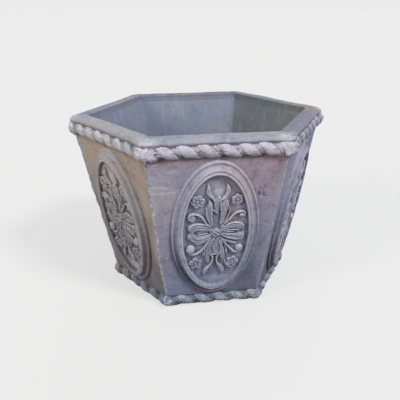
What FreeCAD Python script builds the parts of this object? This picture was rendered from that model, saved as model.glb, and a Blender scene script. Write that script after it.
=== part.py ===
import FreeCAD, Part
import math
import os
import Sketcher
from FreeCAD import Placement, Rotation, Vector

# Six-sided planter of cast cement, walls leaning outwards from the foot to the mouth.
# Origin: centre of the foot on the ground. +Z up, a corner on +X, the front face towards -Y.
# Pieces of a side are drawn on the back side, outwards along +Y, and turned to their own side.
# An apothem is the distance from the centre axis to the middle of a side.

SIDES = ("front", "front_right", "back_right", "back", "back_left", "front_left")
CORNERS = ("right", "back_right", "back_left", "left", "front_left", "front_right")
STEP_TURN = 360 / len(SIDES)
SAME_PLACE = 1e-6
BACK_TURN = STEP_TURN * SIDES.index("back")
TAN_HALF = math.tan(math.radians(STEP_TURN / 2))
COS_HALF = math.cos(math.radians(STEP_TURN / 2))
UP = Vector(0, 0, 1)
ALONG = Vector(1, 0, 0)
OUTWARD = Vector(0, 1, 0)

# Driving dimensions in millimetres, and counts
DIMENSIONS = (
    ("overall_height", 314.0),
    ("foot_apothem", 136.9),
    ("mouth_apothem", 198.6),
    ("wall_thickness", 25.4),
    ("floor_thickness", 28.0),
    ("drain_hole_radius", 12.0),
    ("coping_thickness", 11.0),
    ("coping_fall", 2.6),
    ("coping_round", 6.0),
    ("drip_rise", 1.5),
    ("drip_depth", 3.0),
    ("rim_rope_radius", 12.0),
    ("rim_rope_embed", 3.8),
    ("rim_rope_strands", 7),
    ("base_rope_radius", 11.7),
    ("base_rope_embed", 4.2),
    ("base_rope_strands", 5),
    ("rope_seat", 8.0),
    ("rope_flat", 0.7),
    ("rope_lead", 64.0),
    ("rope_groove_width", 2.5),
    ("rope_ridge_width", 2.0),
    ("rope_groove_depth", 3.4),
    ("joint_width", 8.0),
    ("joint_cove_width", 14.0),
    ("joint_bead_width", 10.0),
    ("joint_bead_rise", 2.0),
    ("medallion_side_margin", 24.2),
    ("medallion_end_margin", 3.7),
    ("medallion_step", 9.0),
    ("plate_thickness", 5.0),
    ("ring_width", 9.8),
    ("ring_rise", 6.6),
    ("ring_round", 3.6),
    ("plate_round", 2.4),
    ("relief_seat", 2.0),
    ("relief_clearance", 0.3),
    ("relief_rise", 5.6),
    ("rosette_radius", 10.6),
    ("scroll_radius", 7.5),
    ("knot_radius", 9.0),
    ("steel_bar_width", 5.0),
    ("steel_clearance", 1.0),
    ("steel_cover", 12.0),
    ("rim_hoop_bend", 6.0),
    ("floor_hoop_radius", 84.0),
    ("cut_overrun", 6.0),
)

# Sizes that follow the driving dimensions, as expressions for the sketches and features
LEAN = "((Sizes.mouth_apothem - Sizes.foot_apothem) / Sizes.overall_height)"
BED_LEVEL = "(Sizes.overall_height - Sizes.coping_thickness)"


def wall_face(level):
    """Apothem of the walls' outer face at a level."""
    return "(Sizes.foot_apothem + %s * %s)" % (LEAN, level)


def cavity_face(level):
    """Apothem of the walls' inner face at a level."""
    return "(%s - Sizes.wall_thickness)" % wall_face(level)


RIM_AXIS_LEVEL = "(%s - Sizes.rim_rope_radius + Sizes.rope_flat)" % BED_LEVEL
RIM_AXIS_APOTHEM = "(%s - Sizes.rim_rope_embed)" % wall_face(RIM_AXIS_LEVEL)
RIM_SEAT = "(%s - Sizes.rope_seat)" % RIM_AXIS_APOTHEM
RIM_LEDGE = "(%s - Sizes.rim_rope_radius + Sizes.rope_flat)" % RIM_AXIS_LEVEL
BASE_AXIS_LEVEL = "(Sizes.base_rope_radius - Sizes.rope_flat)"
BASE_AXIS_APOTHEM = "(%s - Sizes.base_rope_embed)" % wall_face(BASE_AXIS_LEVEL)
BASE_SEAT = "(%s - Sizes.rope_seat)" % BASE_AXIS_APOTHEM
BASE_LEDGE = "(2 * %s)" % BASE_AXIS_LEVEL
NOSE_LEVEL = "(%s + Sizes.drip_rise)" % BED_LEVEL
CHANNEL_HALF = "(Sizes.steel_bar_width / 2 + Sizes.steel_clearance)"
RIM_HOOP_APOTHEM = "(%s - %s)" % (RIM_SEAT, CHANNEL_HALF)
CHANNEL_TOP = "(%s + Sizes.steel_bar_width + Sizes.steel_clearance)" % BED_LEVEL
FLOOR_HOOP_LEVEL = "(Sizes.floor_thickness / 2)"
MEDALLION_LEVEL = "((%s + %s) / 2)" % (RIM_LEDGE, BASE_LEDGE)
WALL_SLOPE = "sqrt(1 + %s ^ 2)" % LEAN
MEDALLION_HALF_HEIGHT = "((%s - %s) * %s / 2 - Sizes.medallion_end_margin)" % (
    RIM_LEDGE,
    BASE_LEDGE,
    WALL_SLOPE,
)
MEDALLION_HALF_WIDTH = "(%s * tan(30) - Sizes.medallion_side_margin)" % wall_face(MEDALLION_LEVEL)
FIELD_INSET = "(Sizes.medallion_step + Sizes.ring_width)"
REACH = "((Sizes.mouth_apothem + Sizes.rim_rope_radius + Sizes.cut_overrun) / cos(30))"

# Relief ornament. Every bit is a keel: stations (across, up, half width) in shares of the
# half width and half height of the field inside the ring, from its root to its tip.
# A station of no width is a point that lies on the field.
KEEL_SHARES = (
    # Bow of two lobes and a short stroke on each side of the knot
    ((-0.10, 0.05, 0.05), (-0.41, 0.12, 0.10), (-0.68, 0.13, 0.11), (-0.86, 0.06, 0.07)),
    ((-0.10, -0.03, 0.05), (-0.41, -0.06, 0.10), (-0.68, -0.08, 0.11), (-0.86, -0.02, 0.07)),
    ((-0.16, -0.06, 0.03), (-0.37, -0.13, 0.05), (-0.62, -0.17, 0.0)),
    ((0.10, 0.04, 0.05), (0.41, 0.10, 0.10), (0.68, 0.13, 0.11), (0.86, 0.06, 0.07)),
    ((0.10, -0.04, 0.05), (0.41, -0.08, 0.10), (0.68, -0.09, 0.11), (0.86, -0.03, 0.07)),
    ((0.18, -0.10, 0.03), (0.41, -0.16, 0.05), (0.66, -0.20, 0.0)),
    # Scroll stems
    ((-0.12, 0.08, 0.05), (-0.32, 0.21, 0.06), (-0.50, 0.32, 0.06), (-0.67, 0.35, 0.05)),
    ((0.12, 0.08, 0.05), (0.32, 0.20, 0.06), (0.50, 0.31, 0.06), (0.69, 0.36, 0.05)),
    ((-0.10, -0.08, 0.05), (-0.32, -0.18, 0.06), (-0.47, -0.28, 0.06), (-0.66, -0.34, 0.05)),
    ((0.10, -0.08, 0.05), (0.29, -0.17, 0.06), (0.45, -0.29, 0.06), (0.66, -0.35, 0.05)),
    # Leaves that stand above the knot and the two horns over them
    ((-0.02, 0.07, 0.06), (-0.03, 0.26, 0.10), (-0.02, 0.40, 0.0)),
    ((-0.10, 0.10, 0.05), (-0.19, 0.36, 0.09), (-0.17, 0.60, 0.0)),
    ((-0.16, 0.10, 0.04), (-0.27, 0.29, 0.07), (-0.33, 0.46, 0.0)),
    ((0.10, 0.10, 0.05), (0.22, 0.37, 0.10), (0.24, 0.62, 0.0)),
    ((0.16, 0.10, 0.04), (0.30, 0.30, 0.07), (0.39, 0.46, 0.0)),
    ((-0.06, 0.50, 0.05), (-0.20, 0.63, 0.08), (-0.31, 0.75, 0.08), (-0.28, 0.86, 0.0)),
    ((0.10, 0.54, 0.05), (0.25, 0.65, 0.08), (0.34, 0.76, 0.08), (0.25, 0.85, 0.0)),
    # Leaves that hang below the knot and the two leaf tips under them
    ((-0.02, -0.07, 0.07), (-0.04, -0.23, 0.14), (-0.04, -0.37, 0.12)),
    ((-0.12, -0.08, 0.05), (-0.27, -0.27, 0.09), (-0.27, -0.45, 0.08), (-0.21, -0.61, 0.0)),
    ((0.12, -0.08, 0.05), (0.20, -0.27, 0.09), (0.24, -0.41, 0.08), (0.24, -0.53, 0.0)),
    ((-0.12, -0.41, 0.05), (-0.15, -0.57, 0.08), (-0.27, -0.70, 0.07), (-0.32, -0.79, 0.0)),
    ((0.08, -0.41, 0.05), (0.11, -0.57, 0.08), (0.22, -0.70, 0.07), (0.25, -0.79, 0.0)),
)
ROSETTE_SHARES = ((-0.56, 0.57), (0.57, 0.57), (-0.57, -0.53), (0.56, -0.54))
SCROLL_SHARES = ((-0.73, 0.30), (0.75, 0.32), (-0.77, -0.29), (0.75, -0.29))
PETAL_COUNT = 5
PETAL_RADIUS_SHARE = 0.40
PETAL_PLACE_SHARE = 0.60
BUTTON_RADIUS_SHARE = 0.42
PETAL_RISE_SHARE = 0.62


def number(expression):
    """Value of an expression over the sizes in the sheet."""
    return float(sizes.evalExpression(expression))


def fill_sheet():
    """Write each driving dimension to a cell and name the cell."""
    for row, (name, value) in enumerate(DIMENSIONS, start=1):
        sizes.set("A%d" % row, name)
        sizes.set("B%d" % row, str(value))
        sizes.setAlias("B%d" % row, name)
    doc.recompute()


def side_turn(side):
    """Turn that carries a piece from the back side to its own side."""
    return Placement(Vector(), Rotation(UP, SIDES.index(side) * STEP_TURN - BACK_TURN))


def corner_turn(corner):
    """Turn that carries a piece from the corner on +X to its own corner."""
    return Placement(Vector(), Rotation(UP, CORNERS.index(corner) * STEP_TURN))


def place_point(sketch, index, across, upward):
    """Tie the start of a sketch line to its place by two expressions."""
    for kind, expression in (("DistanceX", across), ("DistanceY", upward)):
        if expression == "0":
            axis = -2 if kind == "DistanceX" else -1
            sketch.addConstraint(Sketcher.Constraint("PointOnObject", index, 1, axis))
            continue
        value = number(expression)
        tie = sketch.addConstraint(Sketcher.Constraint(kind, -1, 1, index, 1, value))
        sketch.setExpression("Constraints[%d]" % tie, expression)


def outline_sketch(body, name, role, outlines):
    """Sketch of closed straight outlines on one of the body's own origin planes."""
    sketch = body.newObject("Sketcher::SketchObject", name)
    plane = [item for item in body.Origin.OriginFeatures if item.Role == role][0]
    sketch.AttachmentSupport = [(plane, "")]
    sketch.MapMode = "FlatFace"
    for outline in outlines:
        points = [Vector(number(across), number(upward), 0) for across, upward in outline]
        first = sketch.GeometryCount
        count = len(points)
        for index in range(count):
            line = Part.LineSegment(points[index], points[(index + 1) % count])
            sketch.addGeometry(line, False)
        for index in range(count):
            follower = first + (index + 1) % count
            sketch.addConstraint(
                Sketcher.Constraint("Coincident", first + index, 2, follower, 1)
            )
        for index, (across, upward) in enumerate(outline):
            place_point(sketch, first + index, across, upward)
    return sketch


def mitred_length(label, outline, half_gap):
    """Body of one side: a section run along the side and mitred at both corners."""
    body = doc.addObject("PartDesign::Body", label)
    section = outline_sketch(body, label + "_section", "YZ_Plane", [outline])
    run = body.newObject("PartDesign::Pad", label + "_run")
    run.Profile = section
    run.Midplane = True
    run.setExpression("Length", "2 * %s" % REACH)
    far = "(%s + %s / cos(30)) / tan(30)" % (REACH, half_gap)
    near = "(%s / sin(30))" % half_gap
    waste = []
    for sign in ("", "-"):
        waste.append([("0", near), (sign + REACH, far), (sign + REACH, "0"), ("0", "0")])
    if half_gap == "0":
        waste = [[point for point in corner if point != ("0", near)] for corner in waste]
    mitre = outline_sketch(body, label + "_mitre", "XY_Plane", waste)
    cut = body.newObject("PartDesign::Pocket", label + "_mitre_cut")
    cut.Profile = mitre
    cut.Type = "ThroughAll"
    cut.Midplane = True
    return body


def check_cut(body, whole, cut):
    """Stop where a cut feature took nothing away."""
    if not cut.Shape.Volume < whole.Shape.Volume:
        raise RuntimeError("nothing was cut from " + body.Label)


def floor_slab():
    """Tapered floor between the walls, with a drain hole and a channel for its hoop."""
    body = doc.addObject("PartDesign::Body", "floor_slab")
    corners = []
    for index in range(len(CORNERS)):
        turn = index * STEP_TURN
        corners.append(
            (
                "%s / cos(30) * cos(%g)" % (cavity_face("0"), turn),
                "%s / cos(30) * sin(%g)" % (cavity_face("0"), turn),
            )
        )
    for on_axis in (0, len(CORNERS) // 2):
        corners[on_axis] = (corners[on_axis][0], "0")
    plan = outline_sketch(body, "floor_slab_plan", "XY_Plane", [corners])
    slab = body.newObject("PartDesign::Pad", "floor_slab_pad")
    slab.Profile = plan
    slab.setExpression("Length", "Sizes.floor_thickness")
    slab.setExpression("TaperAngle", "atan(%s)" % LEAN)
    doc.recompute()
    hole_plan = body.newObject("Sketcher::SketchObject", "drain_hole_plan")
    plane = [item for item in body.Origin.OriginFeatures if item.Role == "XY_Plane"][0]
    hole_plan.AttachmentSupport = [(plane, "")]
    hole_plan.MapMode = "FlatFace"
    hole_plan.addGeometry(Part.Circle(Vector(), UP, number("Sizes.drain_hole_radius")), False)
    hole_plan.addConstraint(Sketcher.Constraint("Coincident", 0, 3, -1, 1))
    hole_plan.addConstraint(Sketcher.Constraint("Radius", 0, number("Sizes.drain_hole_radius")))
    hole_plan.setExpression("Constraints[1]", "Sizes.drain_hole_radius")
    hole = body.newObject("PartDesign::Pocket", "drain_hole")
    hole.Profile = hole_plan
    hole.Type = "ThroughAll"
    hole.Midplane = True
    doc.recompute()
    check_cut(body, slab, hole)
    ring_plan = body.newObject("Sketcher::SketchObject", "floor_hoop_channel_plan")
    plane = [item for item in body.Origin.OriginFeatures if item.Role == "XZ_Plane"][0]
    ring_plan.AttachmentSupport = [(plane, "")]
    ring_plan.MapMode = "FlatFace"
    centre = Vector(number("Sizes.floor_hoop_radius"), number(FLOOR_HOOP_LEVEL), 0)
    ring_plan.addGeometry(Part.Circle(centre, UP, number("Sizes.steel_bar_width / 2")), False)
    ring_plan.addConstraint(Sketcher.Constraint("DistanceX", -1, 1, 0, 3, centre.x))
    ring_plan.addConstraint(Sketcher.Constraint("DistanceY", -1, 1, 0, 3, centre.y))
    ring_plan.addConstraint(Sketcher.Constraint("Diameter", 0, number("Sizes.steel_bar_width")))
    ring_plan.setExpression("Constraints[0]", "Sizes.floor_hoop_radius")
    ring_plan.setExpression("Constraints[1]", FLOOR_HOOP_LEVEL)
    ring_plan.setExpression("Constraints[2]", "Sizes.steel_bar_width")
    channel = body.newObject("PartDesign::Groove", "floor_hoop_channel")
    channel.Profile = ring_plan
    channel.ReferenceAxis = (ring_plan, ["V_Axis"])
    channel.Angle = 360
    doc.recompute()
    check_cut(body, hole, channel)
    return body


def wall_panel(side):
    """Leaning panel with rebates for the base rope below and the rim rope above."""
    outline = [
        (cavity_face("0"), "0"),
        (BASE_SEAT, "0"),
        (BASE_SEAT, BASE_LEDGE),
        (wall_face(BASE_LEDGE), BASE_LEDGE),
        (wall_face(RIM_LEDGE), RIM_LEDGE),
        (RIM_SEAT, RIM_LEDGE),
        (RIM_SEAT, BED_LEVEL),
        (cavity_face(BED_LEVEL), BED_LEVEL),
    ]
    body = mitred_length("wall_panel_" + side, outline, "(Sizes.joint_width / 2)")
    body.Placement = side_turn(side)
    return body


def coping(side):
    """Coping length: falling top, rounded nose, drip under it and a channel for the hoop."""
    nose = wall_face(NOSE_LEVEL)
    outline = [
        (cavity_face("Sizes.overall_height"), "Sizes.overall_height"),
        (nose, "(Sizes.overall_height - Sizes.coping_fall)"),
        (nose, NOSE_LEVEL),
        ("(%s - Sizes.drip_depth)" % nose, BED_LEVEL),
        ("(%s + %s)" % (RIM_HOOP_APOTHEM, CHANNEL_HALF), BED_LEVEL),
        ("(%s + %s)" % (RIM_HOOP_APOTHEM, CHANNEL_HALF), CHANNEL_TOP),
        ("(%s - %s)" % (RIM_HOOP_APOTHEM, CHANNEL_HALF), CHANNEL_TOP),
        ("(%s - %s)" % (RIM_HOOP_APOTHEM, CHANNEL_HALF), BED_LEVEL),
        (cavity_face(BED_LEVEL), BED_LEVEL),
    ]
    body = mitred_length("coping_" + side, outline, "0")
    doc.recompute()
    mitred = body.Tip
    nose_edges = []
    for index, edge in enumerate(mitred.Shape.Edges, start=1):
        middle = edge.CenterOfMass
        level = number("Sizes.overall_height - Sizes.coping_fall")
        at_level = math.isclose(middle.z, level, abs_tol=SAME_PLACE)
        if at_level and math.isclose(middle.y, number(nose), abs_tol=SAME_PLACE):
            nose_edges.append("Edge%d" % index)
    rounding = body.newObject("PartDesign::Fillet", "coping_nose_" + side)
    rounding.Base = (mitred, nose_edges)
    rounding.setExpression("Radius", "Sizes.coping_round")
    body.Placement = side_turn(side)
    return body


def hexagon_prism(apothem, low, high):
    """Upright six-sided prism round the centre axis."""
    corner = Vector(apothem / COS_HALF, 0, low)
    turns = range(len(SIDES) + 1)
    points = [Rotation(UP, index * STEP_TURN).multVec(corner) for index in turns]
    return Part.Face(Part.makePolygon(points)).extrude(Vector(0, 0, high - low))


def hexagon_ring(outer, inner, low, high):
    """Six-sided ring between two apothems."""
    return hexagon_prism(outer, low, high).cut(hexagon_prism(inner, low, high))


def corner_bar_axis():
    """Foot and head of the steel bar in the corner on +X."""
    lean = number(LEAN) / COS_HALF
    middle = number("(%s + %s) / 2" % (cavity_face("0"), BASE_SEAT)) / COS_HALF
    low = number("Sizes.steel_cover")
    high = number(BED_LEVEL) - number("Sizes.steel_cover")
    return Vector(middle + lean * low, 0, low), Vector(middle + lean * high, 0, high)


def corner_bar():
    """Round steel bar that leans with the corner."""
    foot, head = corner_bar_axis()
    radius = number("Sizes.steel_bar_width / 2")
    return Part.makeCylinder(radius, (head - foot).Length, foot, head - foot)


def corner_joint(slab_shape, bar):
    """Mortar between two panels: stem, cove inside and raised bead outside."""
    outer = number("Sizes.foot_apothem") / COS_HALF
    inner = number(cavity_face("0")) / COS_HALF
    gap = number("Sizes.joint_width / 2")
    cove = number("Sizes.joint_cove_width / 2")
    bead = number("Sizes.joint_bead_width / 2")
    proud = number("Sizes.joint_bead_rise")

    def on_face(corner, offset):
        return Vector(corner - abs(offset) * TAN_HALF, offset, 0)

    crown = Part.Arc(on_face(outer, -bead), Vector(outer + proud, 0, 0), on_face(outer, bead))
    points = [
        on_face(outer, bead),
        on_face(outer, gap),
        on_face(inner, gap),
        on_face(inner, cove),
        on_face(inner, -cove),
        on_face(inner, -gap),
        on_face(outer, -gap),
        on_face(outer, -bead),
    ]
    edges = [crown.toShape()]
    for start, end in zip(points, points[1:]):
        edges.append(Part.LineSegment(start, end).toShape())
    height = number(BED_LEVEL)
    lean = number(LEAN) / COS_HALF
    column = Part.Face(Part.Wire(Part.__sortEdges__(edges)))
    column = column.extrude(Vector(lean * height, 0, height))
    reach = number(REACH)
    run_out = number("Sizes.cut_overrun")
    base_top = number(BASE_LEDGE)
    rim_ledge = number(RIM_LEDGE)
    for tool in (
        hexagon_ring(reach, number(BASE_SEAT), -run_out, base_top),
        hexagon_ring(reach, number(RIM_SEAT), rim_ledge, height + run_out),
        slab_shape,
        bar,
    ):
        column = column.cut(tool)
    return column


def rope_length(radius, axis_apothem, axis_level, strands):
    """Twisted rope moulding along the back side, flat behind, above and below, mitred."""
    pitch = 2 * axis_apothem * TAN_HALF / strands
    reach = number(REACH)
    seat = number("Sizes.rope_seat")
    flat = number("Sizes.rope_flat")
    groove = number("Sizes.rope_groove_width")
    ridge = number("Sizes.rope_ridge_width")
    depth = number("Sizes.rope_groove_depth")
    slant = math.degrees(math.atan2(number("Sizes.rope_lead"), 2 * math.pi * radius))
    start = Vector(-reach, axis_apothem, axis_level)
    strand = Part.makeCylinder(radius, 2 * reach, start, ALONG)
    core = Part.makeCylinder(radius - depth, 2 * reach, start, ALONG)
    size = 4 * radius
    slots = []
    for index in range(strands):
        along = (index + 0.5 - strands / 2) * pitch
        for order in (-1, 0, 1):
            middle = order * (groove + ridge)
            slot = Part.makeBox(groove, size, size, Vector(middle - groove / 2, -size / 2, -size / 2))
            slot.Placement = Placement(
                Vector(along, axis_apothem, axis_level), Rotation(OUTWARD, slant)
            )
            slots.append(slot)
    twisted = strand.cut(Part.makeCompound(slots)).fuse(core)
    near = axis_apothem - seat
    far = axis_apothem + radius + number("Sizes.cut_overrun")
    low = axis_level - radius + flat
    high = axis_level + radius - flat
    plan = [(-near, near), (near, near), (far, far), (-far, far), (-near, near)]
    block = Part.makePolygon([Vector(across * TAN_HALF, out, low) for across, out in plan])
    block = Part.Face(block).extrude(Vector(0, 0, high - low))
    return twisted.common(block).removeSplitter()


def wall_plane():
    """Frame of a medallion on the back wall: X to the viewer's right, Y up, Z out."""
    up_wall = Vector(0, number(LEAN), 1).normalize()
    right = ALONG.negative()
    matrix = FreeCAD.Matrix()
    matrix.A11, matrix.A21, matrix.A31 = tuple(right)
    matrix.A12, matrix.A22, matrix.A32 = tuple(up_wall)
    matrix.A13, matrix.A23, matrix.A33 = tuple(right.cross(up_wall))
    centre = Vector(0, number(wall_face(MEDALLION_LEVEL)), number(MEDALLION_LEVEL))
    return Placement(centre, Rotation(matrix))


def oval(inset, low, high):
    """Elliptical disc, inset from the medallion's outline."""
    half_width = number(MEDALLION_HALF_WIDTH) - inset
    half_height = number(MEDALLION_HALF_HEIGHT) - inset
    curve = Part.Ellipse(Vector(0, half_height, low), Vector(half_width, 0, low), Vector(0, 0, low))
    face = Part.Face(Part.Wire(curve.toShape()))
    return face.extrude(Vector(0, 0, high - low))


def edges_at(shape, level):
    """Edges of a shape that lie whole at one level."""
    found = []
    for edge in shape.Edges:
        box = edge.BoundBox
        if abs(box.ZMin - level) < SAME_PLACE and abs(box.ZMax - level) < SAME_PLACE:
            found.append(edge)
    return found


def oval_medallion():
    """Oval plate with a rounded edge, a raised round ring and a shallow seat in the ring."""
    step = number("Sizes.medallion_step")
    field = number(FIELD_INSET)
    thickness = number("Sizes.plate_thickness")
    crown = thickness + number("Sizes.ring_rise")
    plate = oval(0, 0, thickness)
    plate = plate.makeFillet(number("Sizes.plate_round"), edges_at(plate, thickness))
    band = oval(step, 0, crown).cut(oval(field, 0, crown))
    band = band.makeFillet(number("Sizes.ring_round"), edges_at(band, crown))
    seat = oval(field, thickness - number("Sizes.relief_seat"), crown)
    return plate.fuse(band).cut(seat)


def keel(stations, half_width, half_height, rise):
    """Leaf or stem with a sharp ridge along its middle, lying on the field."""
    middles = [Vector(across * half_width, up * half_height, 0) for across, up, share in stations]
    lefts, rights, ridges = [], [], []
    for index, middle in enumerate(middles):
        before = middles[max(index - 1, 0)]
        after = middles[min(index + 1, len(middles) - 1)]
        normal = (after - before).normalize().cross(UP)
        half = stations[index][2] * half_width
        lefts.append(middle - normal * half)
        rights.append(middle + normal * half)
        ridges.append(middle + UP * (rise if half else 0))
    pointed = stations[-1][2] == 0
    base = lefts + ([] if pointed else [rights[-1]]) + rights[-2::-1] + [lefts[0]]
    faces = [Part.Face(Part.makePolygon(base))]
    triangles = [(lefts[0], rights[0], ridges[0])]
    if not pointed:
        triangles.append((lefts[-1], rights[-1], ridges[-1]))
    for index in range(len(middles) - 1):
        last = pointed and index == len(middles) - 2
        for rim in (lefts, rights):
            triangles.append((rim[index], rim[index + 1], ridges[index]))
            if not last:
                triangles.append((rim[index + 1], ridges[index + 1], ridges[index]))
    for corners in triangles:
        faces.append(Part.Face(Part.makePolygon(list(corners) + [corners[0]])))
    solid = Part.Solid(Part.Shell(faces))
    if solid.Volume < 0:
        solid.reverse()
    return solid


def cap(radius, rise, place):
    """Round cap cut from a ball, lying on the field."""
    ball = (radius * radius + rise * rise) / (2 * rise)
    low = math.degrees(math.asin((ball - rise) / ball))
    return Part.makeSphere(ball, place - UP * (ball - rise), UP, low, 90, 360)


def floral_relief():
    """Oval insert with a knot, bow, scrolls, leaves and rosettes standing on its field."""
    half_width = number(MEDALLION_HALF_WIDTH) - number(FIELD_INSET)
    half_height = number(MEDALLION_HALF_HEIGHT) - number(FIELD_INSET)
    rise = number("Sizes.relief_rise")
    rosette = number("Sizes.rosette_radius")
    inset = number(FIELD_INSET) + number("Sizes.relief_clearance")
    insert = oval(inset, -number("Sizes.relief_seat"), 0)
    bits = [keel(stations, half_width, half_height, rise) for stations in KEEL_SHARES]
    bits.append(cap(number("Sizes.knot_radius"), rise, Vector()))
    for across, up in SCROLL_SHARES:
        centre = Vector(across * half_width, up * half_height, 0)
        bits.append(cap(number("Sizes.scroll_radius"), rise, centre))
    for across, up in ROSETTE_SHARES:
        centre = Vector(across * half_width, up * half_height, 0)
        bits.append(cap(rosette * BUTTON_RADIUS_SHARE, rise * PETAL_RISE_SHARE, centre))
        for index in range(PETAL_COUNT):
            turn = Rotation(UP, index * 360 / PETAL_COUNT)
            petal = centre + turn.multVec(Vector(0, rosette * PETAL_PLACE_SHARE, 0))
            bits.append(cap(rosette * PETAL_RADIUS_SHARE, rise * PETAL_RISE_SHARE, petal))
    return insert.multiFuse(bits)


def rim_hoop():
    """Steel bar bent to a hexagon, lying on the walls in the channel under the coping."""
    radius = number("Sizes.steel_bar_width / 2")
    bend = number("Sizes.rim_hoop_bend")
    apothem = number(RIM_HOOP_APOTHEM)
    level = number(BED_LEVEL) + radius
    half = (apothem - bend) * TAN_HALF
    edges = []
    for index in range(len(SIDES)):
        turn = Rotation(UP, index * STEP_TURN)
        start = turn.multVec(Vector(half, apothem, level))
        end = turn.multVec(Vector(-half, apothem, level))
        edges.append(Part.LineSegment(start, end).toShape())
        centre = Vector(-half, apothem - bend, level)
        arc = []
        for part_turn in (0, STEP_TURN / 2, STEP_TURN):
            spoke = Rotation(UP, part_turn).multVec(OUTWARD * bend)
            arc.append(turn.multVec(centre + spoke))
        edges.append(Part.Arc(*arc).toShape())
    path = Part.Wire(edges)
    ring = Part.Circle(Vector(0, apothem, level), ALONG, radius)
    return path.makePipeShell([Part.Wire(ring.toShape())], True, False)


def floor_hoop():
    """Steel ring cast inside the floor slab."""
    hoop = doc.addObject("Part::Torus", "floor_hoop")
    hoop.setExpression("Radius1", "Sizes.floor_hoop_radius")
    hoop.setExpression("Radius2", "Sizes.steel_bar_width / 2")
    hoop.setExpression("Placement.Base.z", FLOOR_HOOP_LEVEL)
    return hoop


def shaped_piece(label, shape, placement):
    """Sub-part whose shape comes from the functions above."""
    piece = doc.addObject("Part::Feature", label)
    piece.Shape = shape
    piece.Placement = placement
    return piece


doc = FreeCAD.newDocument("tulsi_vrindavan_planter")
sizes = doc.addObject("Spreadsheet::Sheet", "Sizes")
fill_sheet()

pieces = [floor_slab(), floor_hoop()]
doc.recompute()
bar = corner_bar()
joint = corner_joint(pieces[0].Shape, bar)
rim_rope = rope_length(
    number("Sizes.rim_rope_radius"),
    number(RIM_AXIS_APOTHEM),
    number(RIM_AXIS_LEVEL),
    int(number("Sizes.rim_rope_strands")),
)
base_rope = rope_length(
    number("Sizes.base_rope_radius"),
    number(BASE_AXIS_APOTHEM),
    number(BASE_AXIS_LEVEL),
    int(number("Sizes.base_rope_strands")),
)
medallion = oval_medallion()
relief = floral_relief()
on_wall = wall_plane()
on_plate = on_wall * Placement(UP * number("Sizes.plate_thickness"), Rotation())

for side in SIDES:
    pieces.append(wall_panel(side))
    pieces.append(coping(side))
    turn = side_turn(side)
    pieces.append(shaped_piece("rim_rope_" + side, rim_rope, turn))
    pieces.append(shaped_piece("base_rope_" + side, base_rope, turn))
    pieces.append(shaped_piece("oval_medallion_" + side, medallion, turn * on_wall))
    pieces.append(shaped_piece("floral_relief_" + side, relief, turn * on_plate))
bars = []
for corner in CORNERS:
    turn = corner_turn(corner)
    pieces.append(shaped_piece("corner_joint_" + corner, joint, turn))
    bars.append(bar.transformed(turn.toMatrix(), True))
pieces.append(shaped_piece("corner_bars", Part.makeCompound(bars), Placement()))
pieces.append(shaped_piece("rim_hoop", rim_hoop(), Placement()))
doc.recompute()

for item in doc.Objects:
    if "Invalid" in item.State or "Error" in item.State:
        raise RuntimeError("failed object: " + item.Label)
for piece in pieces:
    if piece.Shape.isNull() or not piece.Shape.isValid():
        raise RuntimeError("bad shape: " + piece.Label)

os.makedirs("parts", exist_ok=True)
for piece in pieces:
    piece.Shape.exportStep("parts/%s.step" % piece.Label)
    print(piece.Label, len(piece.Shape.Solids), round(piece.Shape.Volume))
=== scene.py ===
from math import cos, hypot, pi, radians, sin, tan

import bmesh
import bpy
import numpy as np
from mathutils import Matrix, Vector


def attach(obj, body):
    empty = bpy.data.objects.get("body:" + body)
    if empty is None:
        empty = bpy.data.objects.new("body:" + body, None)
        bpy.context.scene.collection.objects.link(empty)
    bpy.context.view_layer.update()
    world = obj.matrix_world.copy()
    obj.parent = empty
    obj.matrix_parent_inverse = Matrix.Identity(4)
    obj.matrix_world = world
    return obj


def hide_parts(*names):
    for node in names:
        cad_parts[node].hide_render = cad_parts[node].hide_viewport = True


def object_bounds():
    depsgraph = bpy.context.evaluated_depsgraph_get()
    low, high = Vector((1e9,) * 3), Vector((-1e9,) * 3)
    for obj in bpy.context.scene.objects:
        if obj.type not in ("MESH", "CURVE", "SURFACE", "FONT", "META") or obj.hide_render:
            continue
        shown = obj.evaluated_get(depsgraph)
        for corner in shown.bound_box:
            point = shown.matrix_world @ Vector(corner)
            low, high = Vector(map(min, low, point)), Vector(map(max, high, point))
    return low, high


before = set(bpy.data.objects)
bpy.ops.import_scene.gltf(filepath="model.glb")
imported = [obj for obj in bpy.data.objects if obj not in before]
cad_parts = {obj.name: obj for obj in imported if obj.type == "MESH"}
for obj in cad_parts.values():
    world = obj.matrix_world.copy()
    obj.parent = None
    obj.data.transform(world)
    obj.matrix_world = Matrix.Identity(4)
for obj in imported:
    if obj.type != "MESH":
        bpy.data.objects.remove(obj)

# Cast cement planter with six leaning walls. Sizes are in millimetres, as in the solids, and MM
# turns them into scene metres. Pieces of a side are drawn on the back side (+Y outwards) and
# turned to their own side. Angles are in degrees. Wear and painted shading run from -1, dark with
# dirt and painted shade, to 1, rubbed pale and painted highlight. In a call of ragged the lengths
# that divide are the sizes of its lumps, and what is added keeps the lumps of one piece from
# coming again on another.

CAD_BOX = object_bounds()
MM = 0.001
TURN = 2 * pi

SIDES = ("front", "front_right", "back_right", "back", "back_left", "front_left")
CORNERS = ("right", "back_right", "back_left", "left", "front_left", "front_right")
SIDE_TURN = 60.0
TAN_HALF = tan(radians(SIDE_TURN / 2))
COS_HALF = cos(radians(SIDE_TURN / 2))

OVERALL_HEIGHT = 314.0
FOOT_APOTHEM = 136.9
MOUTH_APOTHEM = 198.6
WALL_THICKNESS = 25.4
LEAN = (MOUTH_APOTHEM - FOOT_APOTHEM) / OVERALL_HEIGHT
BED_LEVEL = 303.0
FLOOR_LEVEL = 28.0
WALL_CORNER_RADIUS = 3.0
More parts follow.
